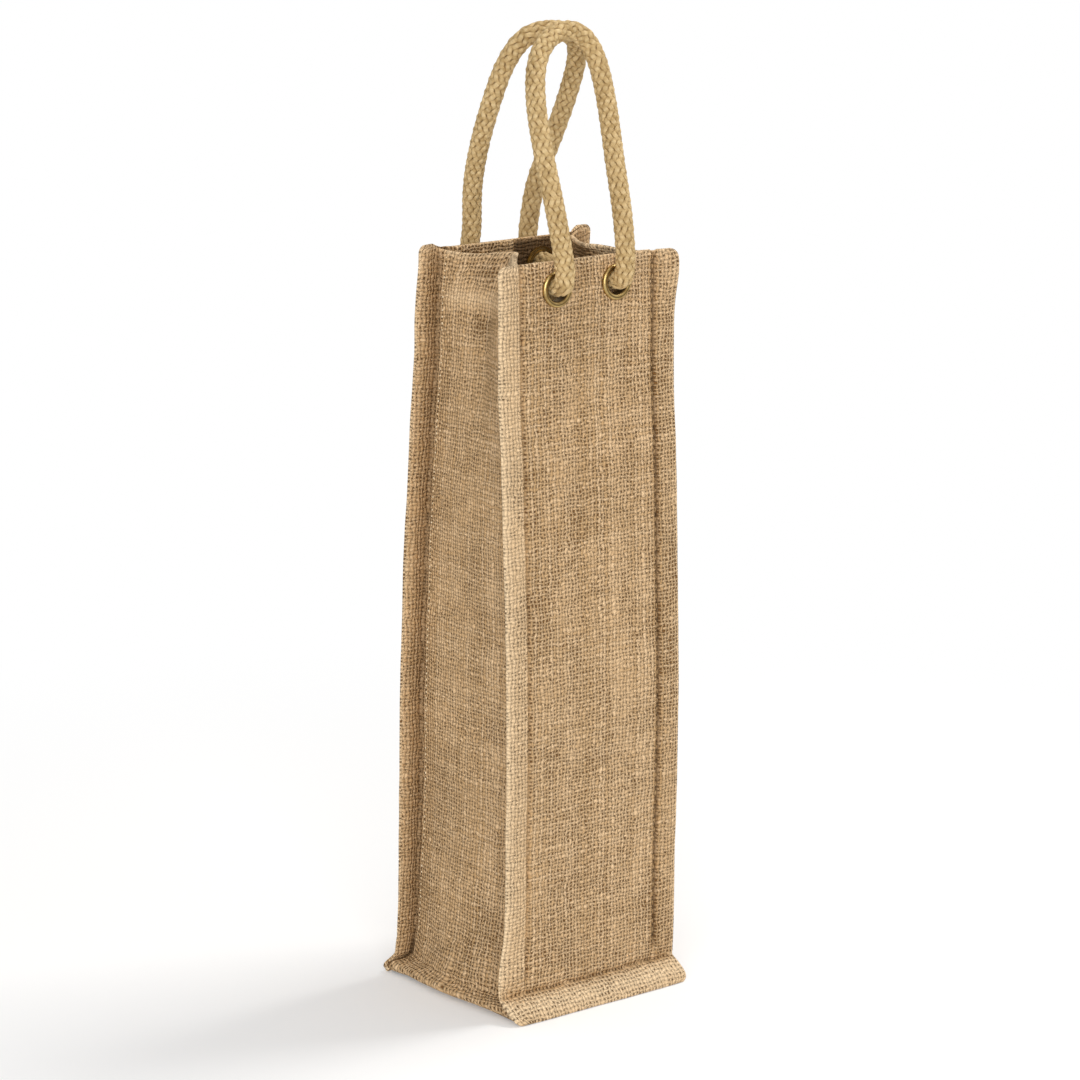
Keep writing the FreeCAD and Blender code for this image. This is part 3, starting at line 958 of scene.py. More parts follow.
@dataclass
class Panel:
    """Front or back panel: padded side fins, a flared lower fin, a hem inside the rim and two holes."""

    form: BagForm
    side: Side
    finish: bpy.types.Material
    profile_step: float = 0.00025
    knee_reach: float = 0.0009
    corner_radius: float = 0.0045
    foot_radius: float = 0.0045
    sweep: float = 0.0030
    sweep_drop: float = 0.004
    tip_shift: Span = (0.0018, 0.0017)
    tip_spread: Span = (0.0, 0.0012)
    tip_start: float = 0.02
    tip_rise: float = 0.002
    notch: float = 0.0012
    notch_reach: float = 0.0010
    notch_height: float = 0.004
    fin_pad: float = 0.0009
    fin_power: float = 0.6
    lower_pad: float = 0.0013
    lower_power: float = 0.7
    fade_height: float = 0.012
    seam_dip: float = 0.0013
    seam_reach: float = 0.0009
    crease_dip: float = 0.0010
    crease_reach: float = 0.0010
    crease_lift: float = 0.0004
    crease_fade_share: float = 0.6
    middle_dip: float = 0.0012
    slack_low: Span = (0.01, 0.06)
    slack_high: Span = (0.30, 0.33)
    lump: float = 0.0005
    lump_sizes: Span = (0.045, 0.013)
    lump_seeds: Span = (3.1, 8.7)
    fine_lump_share: float = 0.5
    hole_radius: float = 0.0070
    flat_reach: float = 0.0105
    flat_fade: float = 0.006
    hem_inset: Span = (0.0050, 0.0035)
    lap: float | None = None
    lap_edge: float = 0.001
    lap_thickness: float = 0.0007
    side_round: float = 0.0011
    rim_round: float = 0.0014
    edge_wear: float = 0.55
    edge_wear_reach: float = 0.0016
    # lower_fin_paling pales the lower fin, most along the middle of its roll
    lower_fin_paling: float = 0.80
    left_fin_wear: float = 0.40
    # right_fin_paling pales the front's right fin a little
    right_fin_paling: float = 0.08
    # foot_painted_light: painted light on the front's lower part between the seams
    foot_painted_light: float = 0.10
    foot_painted_light_up: Span = (0.10, 0.25)
    # painted shade along the side seams, in the crease above the lower fin and on the lining inside the rim,
    # less where the hem's ends lap
    seam_shades: Span = (0.95, 0.40)
    seam_shade_reach: float = 0.0013
    crease_shade: float = 0.45
    inside_shade: float = 1.1
    lap_shade: float = 0.25
    seam_edge: float = 0.002
    left_fin_start: Span = (-0.001, 0.004)
    left_fin_close: float = 0.45
    right_fin_loose: float = 0.2
    loose_edge: float = 0.003
    patches: tuple[Lumps, ...] = (Lumps(0.25, 0.035, 4.4), Lumps(0.6, 0.008, 1.7, 0.15))
    foot_loose_width: float = 0.02
    foot_loose: Bell = Bell(0.6, 0.0265, 0.010)
    length: float = field(init=False)
    across: Grid = field(init=False)
    way: Grid = field(init=False)
    points: Grid = field(init=False)
    shell: ClothShell = field(init=False)

    @property
    def name(self) -> str:
        """Name of the panel's node."""
        return f"{self.side.name.lower()}_panel"

    def eyelets(self) -> list[Vector]:
        """Return the middles of the panel's two eyelets."""
        return [middle_of(f"{self.side.name.lower()}_{hand.name.lower()}_eyelet") for hand in Hand]

    def profile(self) -> tuple[Grid, Grid, Grid]:
        """Return the panel's side view from its lower tip to the rim.

        Returns:
            Way along the profile, distance out and height, at each step.
        """
        form = self.form
        step = self.profile_step
        way = np.arange(0.0, form.bottom_fin, step)[::-1]
        fin_out = form.body_out + way * math.cos(form.flare)
        fin_up = form.knee_up - way * math.sin(form.flare)
        wall_up = np.arange(form.knee_up + step, form.height + step / 2, step)
        outs = np.concatenate([fin_out, form.out(self.side, wall_up)])
        ups = np.concatenate([fin_up, wall_up])
        path = softened(np.stack([outs, ups], -1), self.knee_reach / step)
        return way_along(path), path[:, 0], path[:, 1]

    def grid(self) -> tuple[Grid, Grid]:
        """Place the grid's lines, closer together at the edges and the seams.

        Returns:
            The places across the panel, and those along its profile.
        """
        length = self.length
        form = self.form
        half = grid_lines([
            (0.0, PLAIN_SPACING), (form.seam - 0.004, BEND_SPACING), (form.seam + 0.003, FIN_SPACING),
            *edge_stops(form.half_width)])
        rows = grid_lines([
            (0.0, EDGE_SPACING), (EDGE_WIDTH, BEND_SPACING), (BEND_WIDTH, 0.0009),
            (form.bottom_fin - 0.003, BEND_SPACING), (form.bottom_fin + 0.004, PLAIN_SPACING),
            (length - form.hem - 0.002, BEND_SPACING), (length - form.hem + 0.001, 0.0012),
            *edge_stops(length)])
        columns = np.concatenate([-half[:0:-1], half])
        return columns * -self.side.value, rows

    def seam_columns(self) -> list[int]:
        """Return the grid's columns that run along the two side seams."""
        columns = self.across[0]
        return [int(np.argmin(np.abs(columns - seam))) for seam in (-self.form.seam, self.form.seam)]

    @property
    def reach(self) -> Grid:
        """Distances from the panel's middle line."""
        return np.abs(self.across)

    @property
    def above(self) -> Grid:
        """Step from 0 on the lower fin to 1 above it."""
        return step_up(self.form.bottom_fin, self.form.bottom_fin + self.fade_height, self.way)

    @property
    def crease(self) -> Grid:
        """1 along the crease above the lower fin, and 0 away from it."""
        return hump(self.way, self.form.bottom_fin + self.crease_lift, self.crease_reach)

    @property
    def lower(self) -> Grid:
        """Swell of the lower fin, 0 at its tip and its crease and 1 between them."""
        return np.sin(math.pi * np.clip(self.way / self.form.bottom_fin, 0.0, 1.0))

    @property
    def left_fin(self) -> Grid:
        """Step from 0 on the panel to 1 on its left side fin."""
        low, high = (self.form.seam + start for start in self.left_fin_start)
        return step_up(low, high, -self.points[..., 0]) * self.above

    def shape(self) -> Grid:
        """Lay the sheet out with round corners, spread fins and turned tips.

        Returns:
            The place of each point.
        """
        form = self.form
        across, way, length = self.across, self.way, self.length
        ways, outs, ups = self.profile()
        out = np.interp(way, ways, outs)
        up = np.interp(way, ways, ups)
        inset = round_corners((self.corner_radius, length - way), (self.foot_radius, way))
        spread = self.sweep * form.spread_bell.at(way - self.sweep_drop) * (across < 0) - inset
        placed = across + np.sign(across) * form.near_edge(self.reach) * spread
        out = out + form.curl(self.side, placed, up)
        tip = step_down(0.0, form.bottom_fin + self.tip_rise, way)
        left, right = (step_up(self.tip_start, form.half_width, hand.value * across) for hand in Hand)
        placed = placed + tip * (self.tip_spread[1] * right - self.tip_spread[0] * left)
        out = out + self.tip_shift[0] * tip
        up = up - self.tip_shift[1] * tip
        notch = hump(across, form.seam, self.notch_reach) * step_up(length - self.notch_height, length, way)
        up = up - self.notch * notch
        up = up + form.ears(self.side, across, up)
        y = self.side.value * out
        return np.stack([placed, y - form.toe(y, across, up), up], -1)

    def relief(self) -> Grid:
        """Pad the fins and sink the seams and the lower crease.

        Returns:
            How far the face stands off the sheet.
        """
        form = self.form
        fin = np.clip((self.reach - form.seam) / form.side_fin, 0.0, 1.0)
        face = self.fin_pad * np.sin(math.pi * fin) ** self.fin_power * self.above
        face += self.lower_pad * self.lower ** self.lower_power
        face -= self.seam_dip * hump(self.reach, form.seam, self.seam_reach) * self.above
        fade = 1.0 - self.crease_fade_share * step_up(form.seam, form.half_width, self.reach)
        return face - self.crease_dip * self.crease * fade

    def slack(self) -> Grid:
        """Let the slack and uneven cloth sink in.

        Returns:
            How far it sinks at each point.
        """
        up = self.points[..., 2]
        loose = step_up(*self.slack_low, up) * step_down(*self.slack_high, up)
        sag = self.middle_dip * (1.0 - np.clip(self.reach / self.form.seam, 0.0, 1.0) ** 2) * loose
        coarse = lumps(self.points, self.lump_sizes[0], self.lump_seeds[0] + self.side.value)
        fine = lumps(self.points, self.lump_sizes[1], self.lump_seeds[1])
        return sag - self.lump * (coarse + self.fine_lump_share * fine)

    def holes(self) -> tuple[Grid, Grid]:
        """Cut the holes and flatten the cloth under the eyelets.

        Returns:
            A value at each point, 0 where the cloth is flat and 1 elsewhere, and which squares are kept.
        """
        across, _, up = np.moveaxis(self.points, -1, 0)
        flat = np.ones_like(up)
        kept = np.ones((up.shape[0] - 1, up.shape[1] - 1), bool)
        for eyelet in self.eyelets():
            away = np.hypot(across - eyelet.x, up - eyelet.z)
            flat *= step_up(self.flat_reach, self.flat_reach + self.flat_fade, away)
            kept &= (away[:-1, :-1] + away[1:, 1:]) / 2 > self.hole_radius
        return flat, kept

    def wear(self) -> Grid:
        """Rub the edges and the front's left fin, pale the lower fin and the front's right fin, paint light
        on the front's lower part, and paint shade into the seams and the crease.

        Returns:
            Values above 0 where wear, paling and painted light make the face paler, and below 0 where shade
            is painted.
        """
        form = self.form
        reach, way = self.reach, self.way
        edge = np.minimum(np.minimum(form.half_width - reach, self.length - way), way)
        worn = self.edge_wear * np.exp(-edge / self.edge_wear_reach) + self.lower_fin_paling * self.lower
        if self.side is Side.FRONT:
            placed, _, up = np.moveaxis(self.points, -1, 0)
            worn += self.left_fin_wear * self.left_fin
            right_fin = step_up(form.seam, form.seam + self.seam_edge, placed) * self.above
            worn += self.right_fin_paling * right_fin
            # painted light on the front's lower part
            worn += self.foot_painted_light * step_down(*self.foot_painted_light_up, up) * (reach < form.seam)
        # painted shade along the seams and in the crease above the lower fin
        seam_shade = np.where(self.side.value * self.across < 0, *self.seam_shades)
        worn -= seam_shade * hump(reach, form.seam, self.seam_shade_reach) * self.above
        return worn - self.crease_shade * self.crease * (reach < form.seam)

    def closeness(self) -> Grid:
        """Vary how close the yarns lie.

        Returns:
            Values above 0 where the weave is close, and below 0 where it is loose.
        """
        form = self.form
        close = -self.right_fin_loose * step_up(form.seam, form.seam + self.loose_edge, self.across)
        close += sum(patches.at(self.points) for patches in self.patches)
        close -= self.foot_loose.at(self.way) * step_up(0.0, self.foot_loose_width, -self.across)
        if self.side is Side.FRONT:
            close += self.left_fin_close * self.left_fin
        return close

    def build(self) -> bpy.types.Object:
        """Make the panel and dress it.

        Returns:
            The new object.
        """
        form = self.form
        self.length = length = self.profile()[0][-1]
        self.across, self.way = across, way = np.meshgrid(*self.grid())
        self.points = self.shape()
        flat, kept = self.holes()
        self.points[..., 1] -= self.side.value * self.slack() * flat
        face = self.relief() * flat
        reach = self.reach

        # thickness, with the hem's second layer inside the rim and the lap of its ends
        hem = step_up(length - form.hem - form.hem_edge, length - form.hem + form.hem_edge, way)
        hem *= step_down(*(form.seam - inset for inset in self.hem_inset), reach)
        lapped = np.zeros_like(hem)
        if self.lap is not None:
            lapped = hem * step_up(-self.lap, self.lap_edge - self.lap, -across)
        lining = form.cloth * (1.0 + hem) + self.lap_thickness * lapped * flat
        middle = (face - lining) / 2
        half = (face + lining) / 2 * edge_rounding(form.half_width - reach, self.side_round)
        half = half * edge_rounding(way, self.side_round) * edge_rounding(length - way, self.rim_round)

        worn = self.wear()
        # painted shade on the lining between the seams, lighter where the hem's ends lap
        within = step_down(form.seam - self.seam_edge, form.seam, reach)
        inside = worn - (self.inside_shade - (self.inside_shade - self.lap_shade) * lapped) * within
        self.shell = ClothShell(self.name + "_cloth", self.points, middle + half, half - middle, across, way,
                                worn * flat, inside, self.closeness(), kept)
        piece = self.shell.dressed(self.finish, self.name)
        flat_size = (2 * form.half_width, length + form.hem)
        return piece


@dataclass
class Gusset:
    """Side gusset: a web between two margins, folded in at the mouth and flared at the floor."""

    form: BagForm
    hand: Hand
    finish: bpy.types.Material
    rim_drop: float = 0.001
    foot: float = 0.0017
    flare_up: float = 0.0097
    seam_ups: Span = (0.0045, 0.0100)
    seam_inset: float = 0.005
    swell_ups: tuple[float, ...] = (0.0045, 0.0100, 0.020, 0.036, 0.070, 0.120)
    swells: tuple[float, ...] = (0.0, 0.0035, 0.0075, 0.0055, 0.0035, 0.0018, 0.0015, 0.0010)
    fold_depth: float = 0.0199
    fold_height: float = 0.112
    fold_lean: float = -0.004
    sharp_depth: float = 0.006
    ear_share: float = 0.45
    ear_reach: float = 0.006
    ear_power: float = 1.5
    margin_steps: int = 34
    web_steps: int = 200
    bend_steps: float = 3.2
    rim_rise: float = 0.0024
    rise_reach: float = 0.012
    rise_height: float = 0.03
    pinch: float = 0.0014
    pinch_insets: Span = (0.0045, 0.0005)
    edge_draw: float = 0.0006
    corner_radius: float = 0.0038
    foot_radius: float = 0.0045
    tuck_share: float = 0.8
    tuck_out: Span = (0.010, 0.046)
    skirt: float = 0.0
    skirt_height: float = 0.026
    skirt_out: Span = (-0.05, 0.045)
    lip: float = 0.0
    lip_out: Span = (0.028, 0.0475)
    lip_up: Span = (0.003, 0.014)
    narrow: float = 0.0
    foot_narrow: float = 0.0
    narrow_up: Span = (0.020, 0.100)
    spread: Span = (0.0, 0.0)
    spread_out: Span = (-0.02, 0.02)
    weave_up: Span = (0.025, 0.050)
    web_start: Span = (-0.001, 0.010)
    stitch_inset: float = 0.0035
    lump: float = 0.0007
    lump_sizes: Span = (0.040, 0.014)
    lump_seeds: Span = (5.3, 2.9)
    fine_lump_share: float = 0.6
    hem_swell: float = 0.0006
    hem_share: float = 0.8
    hem_side: float = 0.002
    band_drop: float = 0.0205
    band_reach: float = 0.0045
    foot_roll: Bell = Bell(0.0016, 0.0047, 0.0028)
    side_round: float = 0.0009
    rim_round: float = 0.0013
    edge_wear: float = 0.7
    edge_wear_reach: float = 0.0022
    # band_paling pales the band below the mouth
    band_paling: float = 0.35
    seam_offset: float = 0.0004
    # painted shade along the seams and on the back margin
    seam_shade: Span = (0.45, 0.0013)
    foot_seam_shade: Span = (0.8, 0.0016)
    foot_seam_up: Span = (0.012, 0.020)
    back_fin_width: float = 0.002
    back_fin_shade: float = 0.48
    back_seam_shade: Span = (0.3, 0.0030)
    loose_drops: Span = (0.010, 0.033)
    loose_reach: float = 0.007
    loose_mouth: Span = (0.004, 0.009)
    loose_foot_up: Bell = Bell(0.5, 0.035, 0.025)
    loose_foot: Span = (-0.022, 0.016)
    # loose_shade: painted shade in the loose weave
    loose_shade: float = 0.3
    loose_share: float = 0.9
    web_close: float = 0.25
    back_fin_close: float = 0.35
    # painted shade on the lining, and painted light on the lining of the right gusset's front half
    inside_shade: float = 0.25
    right_inside_shade: float = 0.35
    inside_painted_light: float = 0.5
    inside_edge: float = 0.012
    # flap_painted_light: painted light on the front half of the web, folded in below the rim
    flap_painted_light: float = 0.5
    flap_edge: float = 0.002
    flap_drop: Span = (0.010, 0.014)
    patches: tuple[Lumps, ...] = (Lumps(0.3, 0.030, 6.1), Lumps(0.4, 0.010, 2.3))
    length: float = field(init=False)
    way: Grid = field(init=False)
    up: Grid = field(init=False)
    out: Grid = field(init=False)
    points: Grid = field(init=False)
    shell: ClothShell = field(init=False)

    @property
    def name(self) -> str:
        """Name of the gusset's node."""
        return f"{self.hand.name.lower()}_gusset"

    @property
    def rim(self) -> float:
        """Height of the gusset's rim."""
        return self.form.height - self.rim_drop

    @property
    def fin(self) -> float:
        """Width of the margins along the side fins."""
        return self.form.side_fin - self.narrow

    def seam_columns(self) -> list[int]:
        """Find the columns that run just beside the two seams, on the web.

        Returns:
            Their places in the grid.
        """
        aim = np.abs(self.beside[0] - self.fin - self.stitch_inset)
        half = len(aim) // 2
        return [int(np.argmin(aim[:half])), half + int(np.argmin(aim[half:]))]

    def rows(self) -> Grid:
        """Place the grid's rows.

        Returns:
            Their heights.
        """
        hem_low = self.rim - self.form.hem
        return grid_lines([(self.foot, EDGE_SPACING), (self.foot + EDGE_WIDTH, BEND_SPACING), (0.014, 0.0015),
                           (hem_low - 0.002, BEND_SPACING), (hem_low + 0.001, 0.0012), *edge_stops(self.rim)])

    def columns(self) -> Grid:
        """Place the grid's columns, closer together at the seams and the edges.

        Returns:
            Their places along the cloth.
        """
        fin, length = self.fin, self.length
        return grid_lines([(0.0, EDGE_SPACING), (EDGE_WIDTH, BEND_SPACING), (BEND_WIDTH, FIN_SPACING),
                           (fin - 0.004, 0.0006), (fin + 0.004, PLAIN_SPACING), (length / 2 - 0.004, 0.0008),
                           (length / 2 + 0.004, PLAIN_SPACING), (length - fin - 0.004, 0.0006),
                           (length - fin + 0.004, FIN_SPACING), *edge_stops(length)])

    def seams(self, rows: Grid) -> Grid:
        """Follow the seams up the bag.

        Args:
            rows: The heights.

        Returns:
            How far the seams stand from the bag's middle at each height.
        """
        form = self.form
        widest = form.half_width - form.cloth
        flared = [widest, form.half_width - self.seam_inset, form.seam]
        seams = np.interp(rows, [self.foot, *self.seam_ups], flared)
        narrow = self.narrow + self.foot_narrow * step_down(*self.narrow_up, rows)
        return np.minimum(seams + narrow, widest)

    def folded(self, rows: Grid) -> Grid:
        """Fold the web in towards the mouth.

        Args:
            rows: The heights.

        Returns:
            How deep the web is folded at each height.
        """
        below = self.rim - rows
        taper = np.clip(1.0 - below / self.fold_height, 0.0, 1.0)
        ear = np.exp(-(below / self.ear_reach) ** self.ear_power)
        return softened(self.fold_depth * (taper + self.ear_share * (ear - taper)), 5.0)

    def margins(self, rows: Grid) -> list[Grid]:
        """Follow the front and the back margin up the bag.

        Args:
            rows: The heights.

        Returns:
            How far each stands from the middle plane at each height.
        """
        form = self.form
        inward = 2 * form.cloth + form.seam_gap
        flared = np.clip((self.flare_up - rows) / math.tan(form.flare), 0.0, None)
        return [softened(form.out(side, rows) + flared, 2.0) - inward for side in Side]

    def sections(self, rows: Grid) -> Grid:
        """Return one path a row: along the front margin, over the web and along the back margin.

        Args:
            rows: Heights.

        Returns:
            Places across and out, for each step of each row's path.
        """
        folded = self.folded(rows)[:, None]
        front, back = (margin[:, None] for margin in self.margins(rows))
        seam = self.seams(rows)[:, None]
        swell = softened(np.interp(rows, [self.foot, *self.swell_ups, self.rim], self.swells), 3.0)[:, None]
        web = np.linspace(-1.0, 1.0, self.web_steps)[None, :]
        lean = self.fold_lean * (folded / self.fold_depth)
        y_web = np.where(web < 0, lean + web * (front + lean), lean + web * (back - lean))
        sharp = np.clip(folded / self.sharp_depth, 0.0, 1.0)
        crease = folded * (sharp * (1.0 - np.abs(web)) + (1.0 - sharp) * (1.0 - web ** 2))
        x_web = seam + swell * (1.0 - web ** 2) - crease
        share = np.linspace(0.0, 1.0, self.margin_steps, endpoint=False)[None, :]
        edge = np.full_like(seam, self.form.half_width)
        x_front = edge + (seam - edge) * share
        x_back = seam + (edge - seam) * (1.0 - share[:, ::-1])
        y_front, y_back = np.broadcast_to(-front, x_front.shape), np.broadcast_to(back, x_back.shape)
        path = np.stack([np.concatenate([x_front, x_web, x_back], 1),
                         np.concatenate([y_front, y_web, y_back], 1)], -1)
        return softened(path.transpose(1, 0, 2), self.bend_steps).transpose(1, 0, 2)

    def shape(self, placed: Grid, up: Grid) -> tuple[Grid, Grid]:
        """Lay the sheet out with round corners, pinched edges and a spread foot.

        Args:
            placed: Places across and out at each point of the grid.
            up: Heights.

        Returns:
            The points, and how far each stands out towards the back.
        """
        form = self.form
        rim = self.rim
        across, out = placed[..., 0], placed[..., 1]
        rise = self.rim_rise * hump(out, self.fold_lean, self.rise_reach)
        rise = rise * step_up(rim - self.rise_height, rim, up)
        near_edge = form.near_edge(across)
        inset = round_corners((self.corner_radius, rim - up), (self.foot_radius, up - self.foot))
        pinch = step_up(*(form.half_width - inset_by for inset_by in self.pinch_insets), across)
        out = out + np.sign(out) * self.pinch * pinch
        if self.hand is Hand.LEFT:
            inset = inset * (1.0 - self.tuck_share * step_up(*self.tuck_out, out) * (up < rim / 2))
        front, back = self.spread
        spread = (front + (back - front) * step_up(*self.spread_out, out)) * form.spread_bell.at(up) - inset
        skirt = self.skirt * step_down(0.0, self.skirt_height, up) * step_up(*self.skirt_out, out)
        lip = self.lip * step_up(*self.lip_out, out) * step_down(*self.lip_up, up)
        x = (across + near_edge * spread - self.edge_draw * near_edge + skirt + lip) * self.hand.value
        y = out + np.where(out < 0, -form.curl(Side.FRONT, x, up), form.curl(Side.BACK, x, up))
        rise += np.where(out < 0, form.ears(Side.FRONT, x, up), form.ears(Side.BACK, x, up))
        return np.stack([x, y - form.toe(out, x, up), up + rise], -1), out

    def weave_along(self, points: Grid, up: Grid) -> Grid:
        """Return places along the cloth's yarns, which follow the spread of the foot.

        Args:
            points: The sheet's points.
            up: Heights.

        Returns:
            One place for each point.
        """
        extra = np.linalg.norm(np.diff(points, axis=0), axis=-1) - np.diff(up, axis=0)
        extra *= step_down(*self.weave_up, up[1:])
        return up - np.append(extra[::-1].cumsum(axis=0)[::-1], np.zeros((1, up.shape[1])), axis=0)

    @property
    def beside(self) -> Grid:
        """Distances from the nearer side edge of the cloth."""
        return np.minimum(self.way, self.length - self.way)

    @property
    def on_web(self) -> Grid:
        """Step from 0 on the margins to 1 on the web."""
        return step_up(*(self.fin + start for start in self.web_start), self.beside)

    @property
    def band(self) -> Grid:
        """1 along the band below the mouth, and 0 away from it."""
        return hump(self.up, self.rim - self.band_drop, self.band_reach) * self.on_web

    @property
    def back_fin(self) -> Grid:
        """1 on the back margin, and 0 on the rest of the cloth."""
        return step_down(self.fin - self.back_fin_width, self.fin, self.beside) * (self.out > 0)

    @property
    def loose(self) -> Grid:
        """Where the web's weave is loose.

        Returns:
            Values near 1 beside the band at the mouth and near the foot, and 0 elsewhere.
        """
        mouth = sum(hump(self.up, self.rim - drop, self.loose_reach) for drop in self.loose_drops)
        mouth = mouth * hump(self.out, *self.loose_mouth)
        foot = self.loose_foot_up.at(self.up) * hump(self.out, *self.loose_foot)
        return (mouth + foot) * self.on_web

    def wear(self) -> Grid:
        """Rub the edges, pale the band below the mouth, paint light on the folded flap, and paint shade along
        the seams, on the back margin and in the loose weave.

        Returns:
            Values above 0 where wear, paling and painted light make the face paler, and below 0 where shade
            is painted.
        """
        beside, up, fin = self.beside, self.up, self.fin
        edge = np.minimum(np.minimum(beside, self.rim - up), up - self.foot)
        worn = self.edge_wear * np.exp(-edge / self.edge_wear_reach) + self.band_paling * self.band
        # painted shade along the seams, stronger at the foot, and on the back margin
        above = step_up(*self.foot_seam_up, up)
        for (shade, reach), share in ((self.seam_shade, above), (self.foot_seam_shade, 1.0 - above)):
            worn -= shade * hump(beside, fin + self.seam_offset, reach) * share
        shade, reach = self.back_seam_shade
        worn -= self.back_fin_shade * self.back_fin + shade * hump(beside, fin, reach) * (self.out > 0)
        # painted shade in the loose weave
        worn -= self.loose_shade * self.loose
        # painted light on the folded flap below the rim
        flap = step_up(-self.fold_lean, self.flap_edge - self.fold_lean, -self.out)
        return worn + self.flap_painted_light * flap * step_down(*self.flap_drop, self.rim - up) * self.on_web

    def closeness(self) -> Grid:
        """Vary how close the yarns lie.

        Returns:
            Values above 0 where the weave is close, and below 0 where it is loose.
        """
        close = self.band - self.loose_share * self.loose + self.web_close * self.on_web
        close += self.back_fin_close * self.back_fin
        return close + sum(patches.at(self.points) for patches in self.patches)

    def build(self) -> bpy.types.Object:
        """Make the gusset and dress it.

        Returns:
            The new object.
        """
        form = self.form
        rim, fin = self.rim, self.fin
        rows = self.rows()
        path = self.sections(rows)
        ways = way_along(path[len(rows) // 3])
        self.length = length = ways[-1]
        columns = self.columns()
        index = np.interp(columns, ways, np.arange(len(ways)))
        low = np.clip(index.astype(int), 0, len(ways) - 2)
        part = (index - low)[None, :, None]
        placed = path[:, low] * (1.0 - part) + path[:, low + 1] * part
        way, up = np.meshgrid(columns, rows)
        points, out = self.shape(placed, up)
        along = self.weave_along(points, up)
        turned = slice(None, None, self.hand.value)
        self.points, self.way, self.up, self.out = (grid[:, turned] for grid in (points, way, up, out))
        points, up, beside = self.points, self.up, self.beside

        # relief: uneven web, the hem's swell and a rolled foot
        coarse = lumps(points, self.lump_sizes[0], self.lump_seeds[0] * self.hand.value)
        fine = lumps(points, self.lump_sizes[1], self.lump_seeds[1])
        uneven = self.lump * (coarse + self.fine_lump_share * fine) * self.on_web
        face = uneven + self.hem_swell * self.band + self.foot_roll.at(up)
        hem = step_up(rim - form.hem - form.hem_edge, rim - form.hem + form.hem_edge, up)
        hem *= step_up(fin, fin + self.hem_side, beside)
        lining = form.cloth * (1.0 + self.hem_share * hem) - uneven
        middle = (face - lining) / 2
        half = (face + lining) / 2 * edge_rounding(beside, self.side_round)
        half = half * edge_rounding(rim - up, self.rim_round) * edge_rounding(up - self.foot, self.side_round)

        worn = self.wear()
        # painted shade on the lining; on the right gusset, painted light on its front half's lining
        inside = -self.inside_shade
        if self.hand is Hand.RIGHT:
            inside = self.inside_painted_light * step_up(0.0, self.inside_edge, -self.out) - self.right_inside_shade
        kept = np.ones((len(rows) - 1, len(columns) - 1), bool)
        self.shell = ClothShell(self.name + "_cloth", points, middle + half, half - middle, self.way,
                                along[:, turned], worn, worn + inside, self.closeness(), kept)
        piece = self.shell.dressed(self.finish, self.name)
        rim + form.hem
        return piece


@dataclass
class Base:
    """Base: a sheet flat on the floor, raised to the pinched seams and turned down into the fins."""

    form: BagForm
    finish: bpy.types.Material
    name: str = "base_panel"
    end_inset: float = 0.003
    ridge_inset: float = 0.005
    step: float = 0.0005
    end_width: float = 0.0008
    end_spacing: float = 0.0002
    middle_spacing: float = 0.0015
    edge_wear: float = 0.4
    edge_wear_reach: float = 0.002
    # inside_shade: painted shade on the base's face layer, which is made darker than its lining
    inside_shade: float = 0.7

    def build(self) -> bpy.types.Object:
        """Make the base and dress it.

        Returns:
            The new object.
        """
        form = self.form
        layers = form.cloth + form.seam_gap
        half_turn = math.radians(45) - form.flare / 2
        ridge_out = form.body_out - layers
        ridge_up = form.knee_up - layers * math.tan(half_turn) - form.cloth / math.cos(form.flare)
        tip_out = form.body_out + form.bottom_fin * math.cos(form.flare)
        sole = tip_out - (form.cloth + layers) * math.sin(form.flare)
        start = ridge_out - ridge_up / math.tan(form.flare)
        outs = np.arange(-sole, sole + self.step / 2, self.step)
        ridge = np.interp(np.abs(outs), [start, ridge_out, sole], [0.0, ridge_up, 0.0])
        ridge = np.clip(softened(ridge, 2.5), 0.0, None)
        end = form.half_width - self.end_inset
        columns = grid_lines([(-end, self.end_spacing), (-end + self.end_width, self.middle_spacing),
                              (end - self.end_width, self.end_spacing), (end, 0.0)])
        across, out = np.meshgrid(columns, outs[::-1])
        up = ridge[::-1, None] * step_down(form.seam - self.ridge_inset, end, np.abs(across))
        points = np.stack([across, out - form.toe(out, across, up), up], -1)
        edge = np.minimum(end - np.abs(across), sole - np.abs(out))
        lift = form.cloth / 2
        half = lift * edge_rounding(edge, self.end_width)
        worn = self.edge_wear * np.exp(-edge / self.edge_wear_reach)
        kept = np.ones((len(outs) - 1, len(columns) - 1), bool)
        # the face layer gets painted shade
        shell = ClothShell(self.name + "_cloth", points, half - lift, half + lift, across, out,
                           worn - self.inside_shade, worn, np.zeros_like(worn), kept)
        piece = shell.dressed(self.finish, self.name)
        2 * end
        return piece


def new_tree(name: str, inputs: dict[str, tuple[str, Any]]
             ) -> tuple[bpy.types.NodeTree, Graph, dict[str, Wire]]:
    """Add a geometry node tree with named inputs.

    Args:
        name: The tree's name.
        inputs: Socket type and value of each input, by name.

    Returns:
        The tree, its graph and its inputs' wires, with the geometry under "Geometry".
    """
    tree = bpy.data.node_groups.new(name, "GeometryNodeTree")
    tree.interface.new_socket("Geometry", in_out="INPUT", socket_type="NodeSocketGeometry")
    tree.interface.new_socket("Geometry", in_out="OUTPUT", socket_type="NodeSocketGeometry")
    for label, (kind, value) in inputs.items():
        socket = tree.interface.new_socket(label, in_out="INPUT", socket_type=kind)
        socket.default_value = value
    graph = Graph(tree)
    entry = graph.node("NodeGroupInput")
    wires = {label: Wire(graph, entry.outputs[label]) for label in ("Geometry", *inputs)}
    return tree, graph, wires


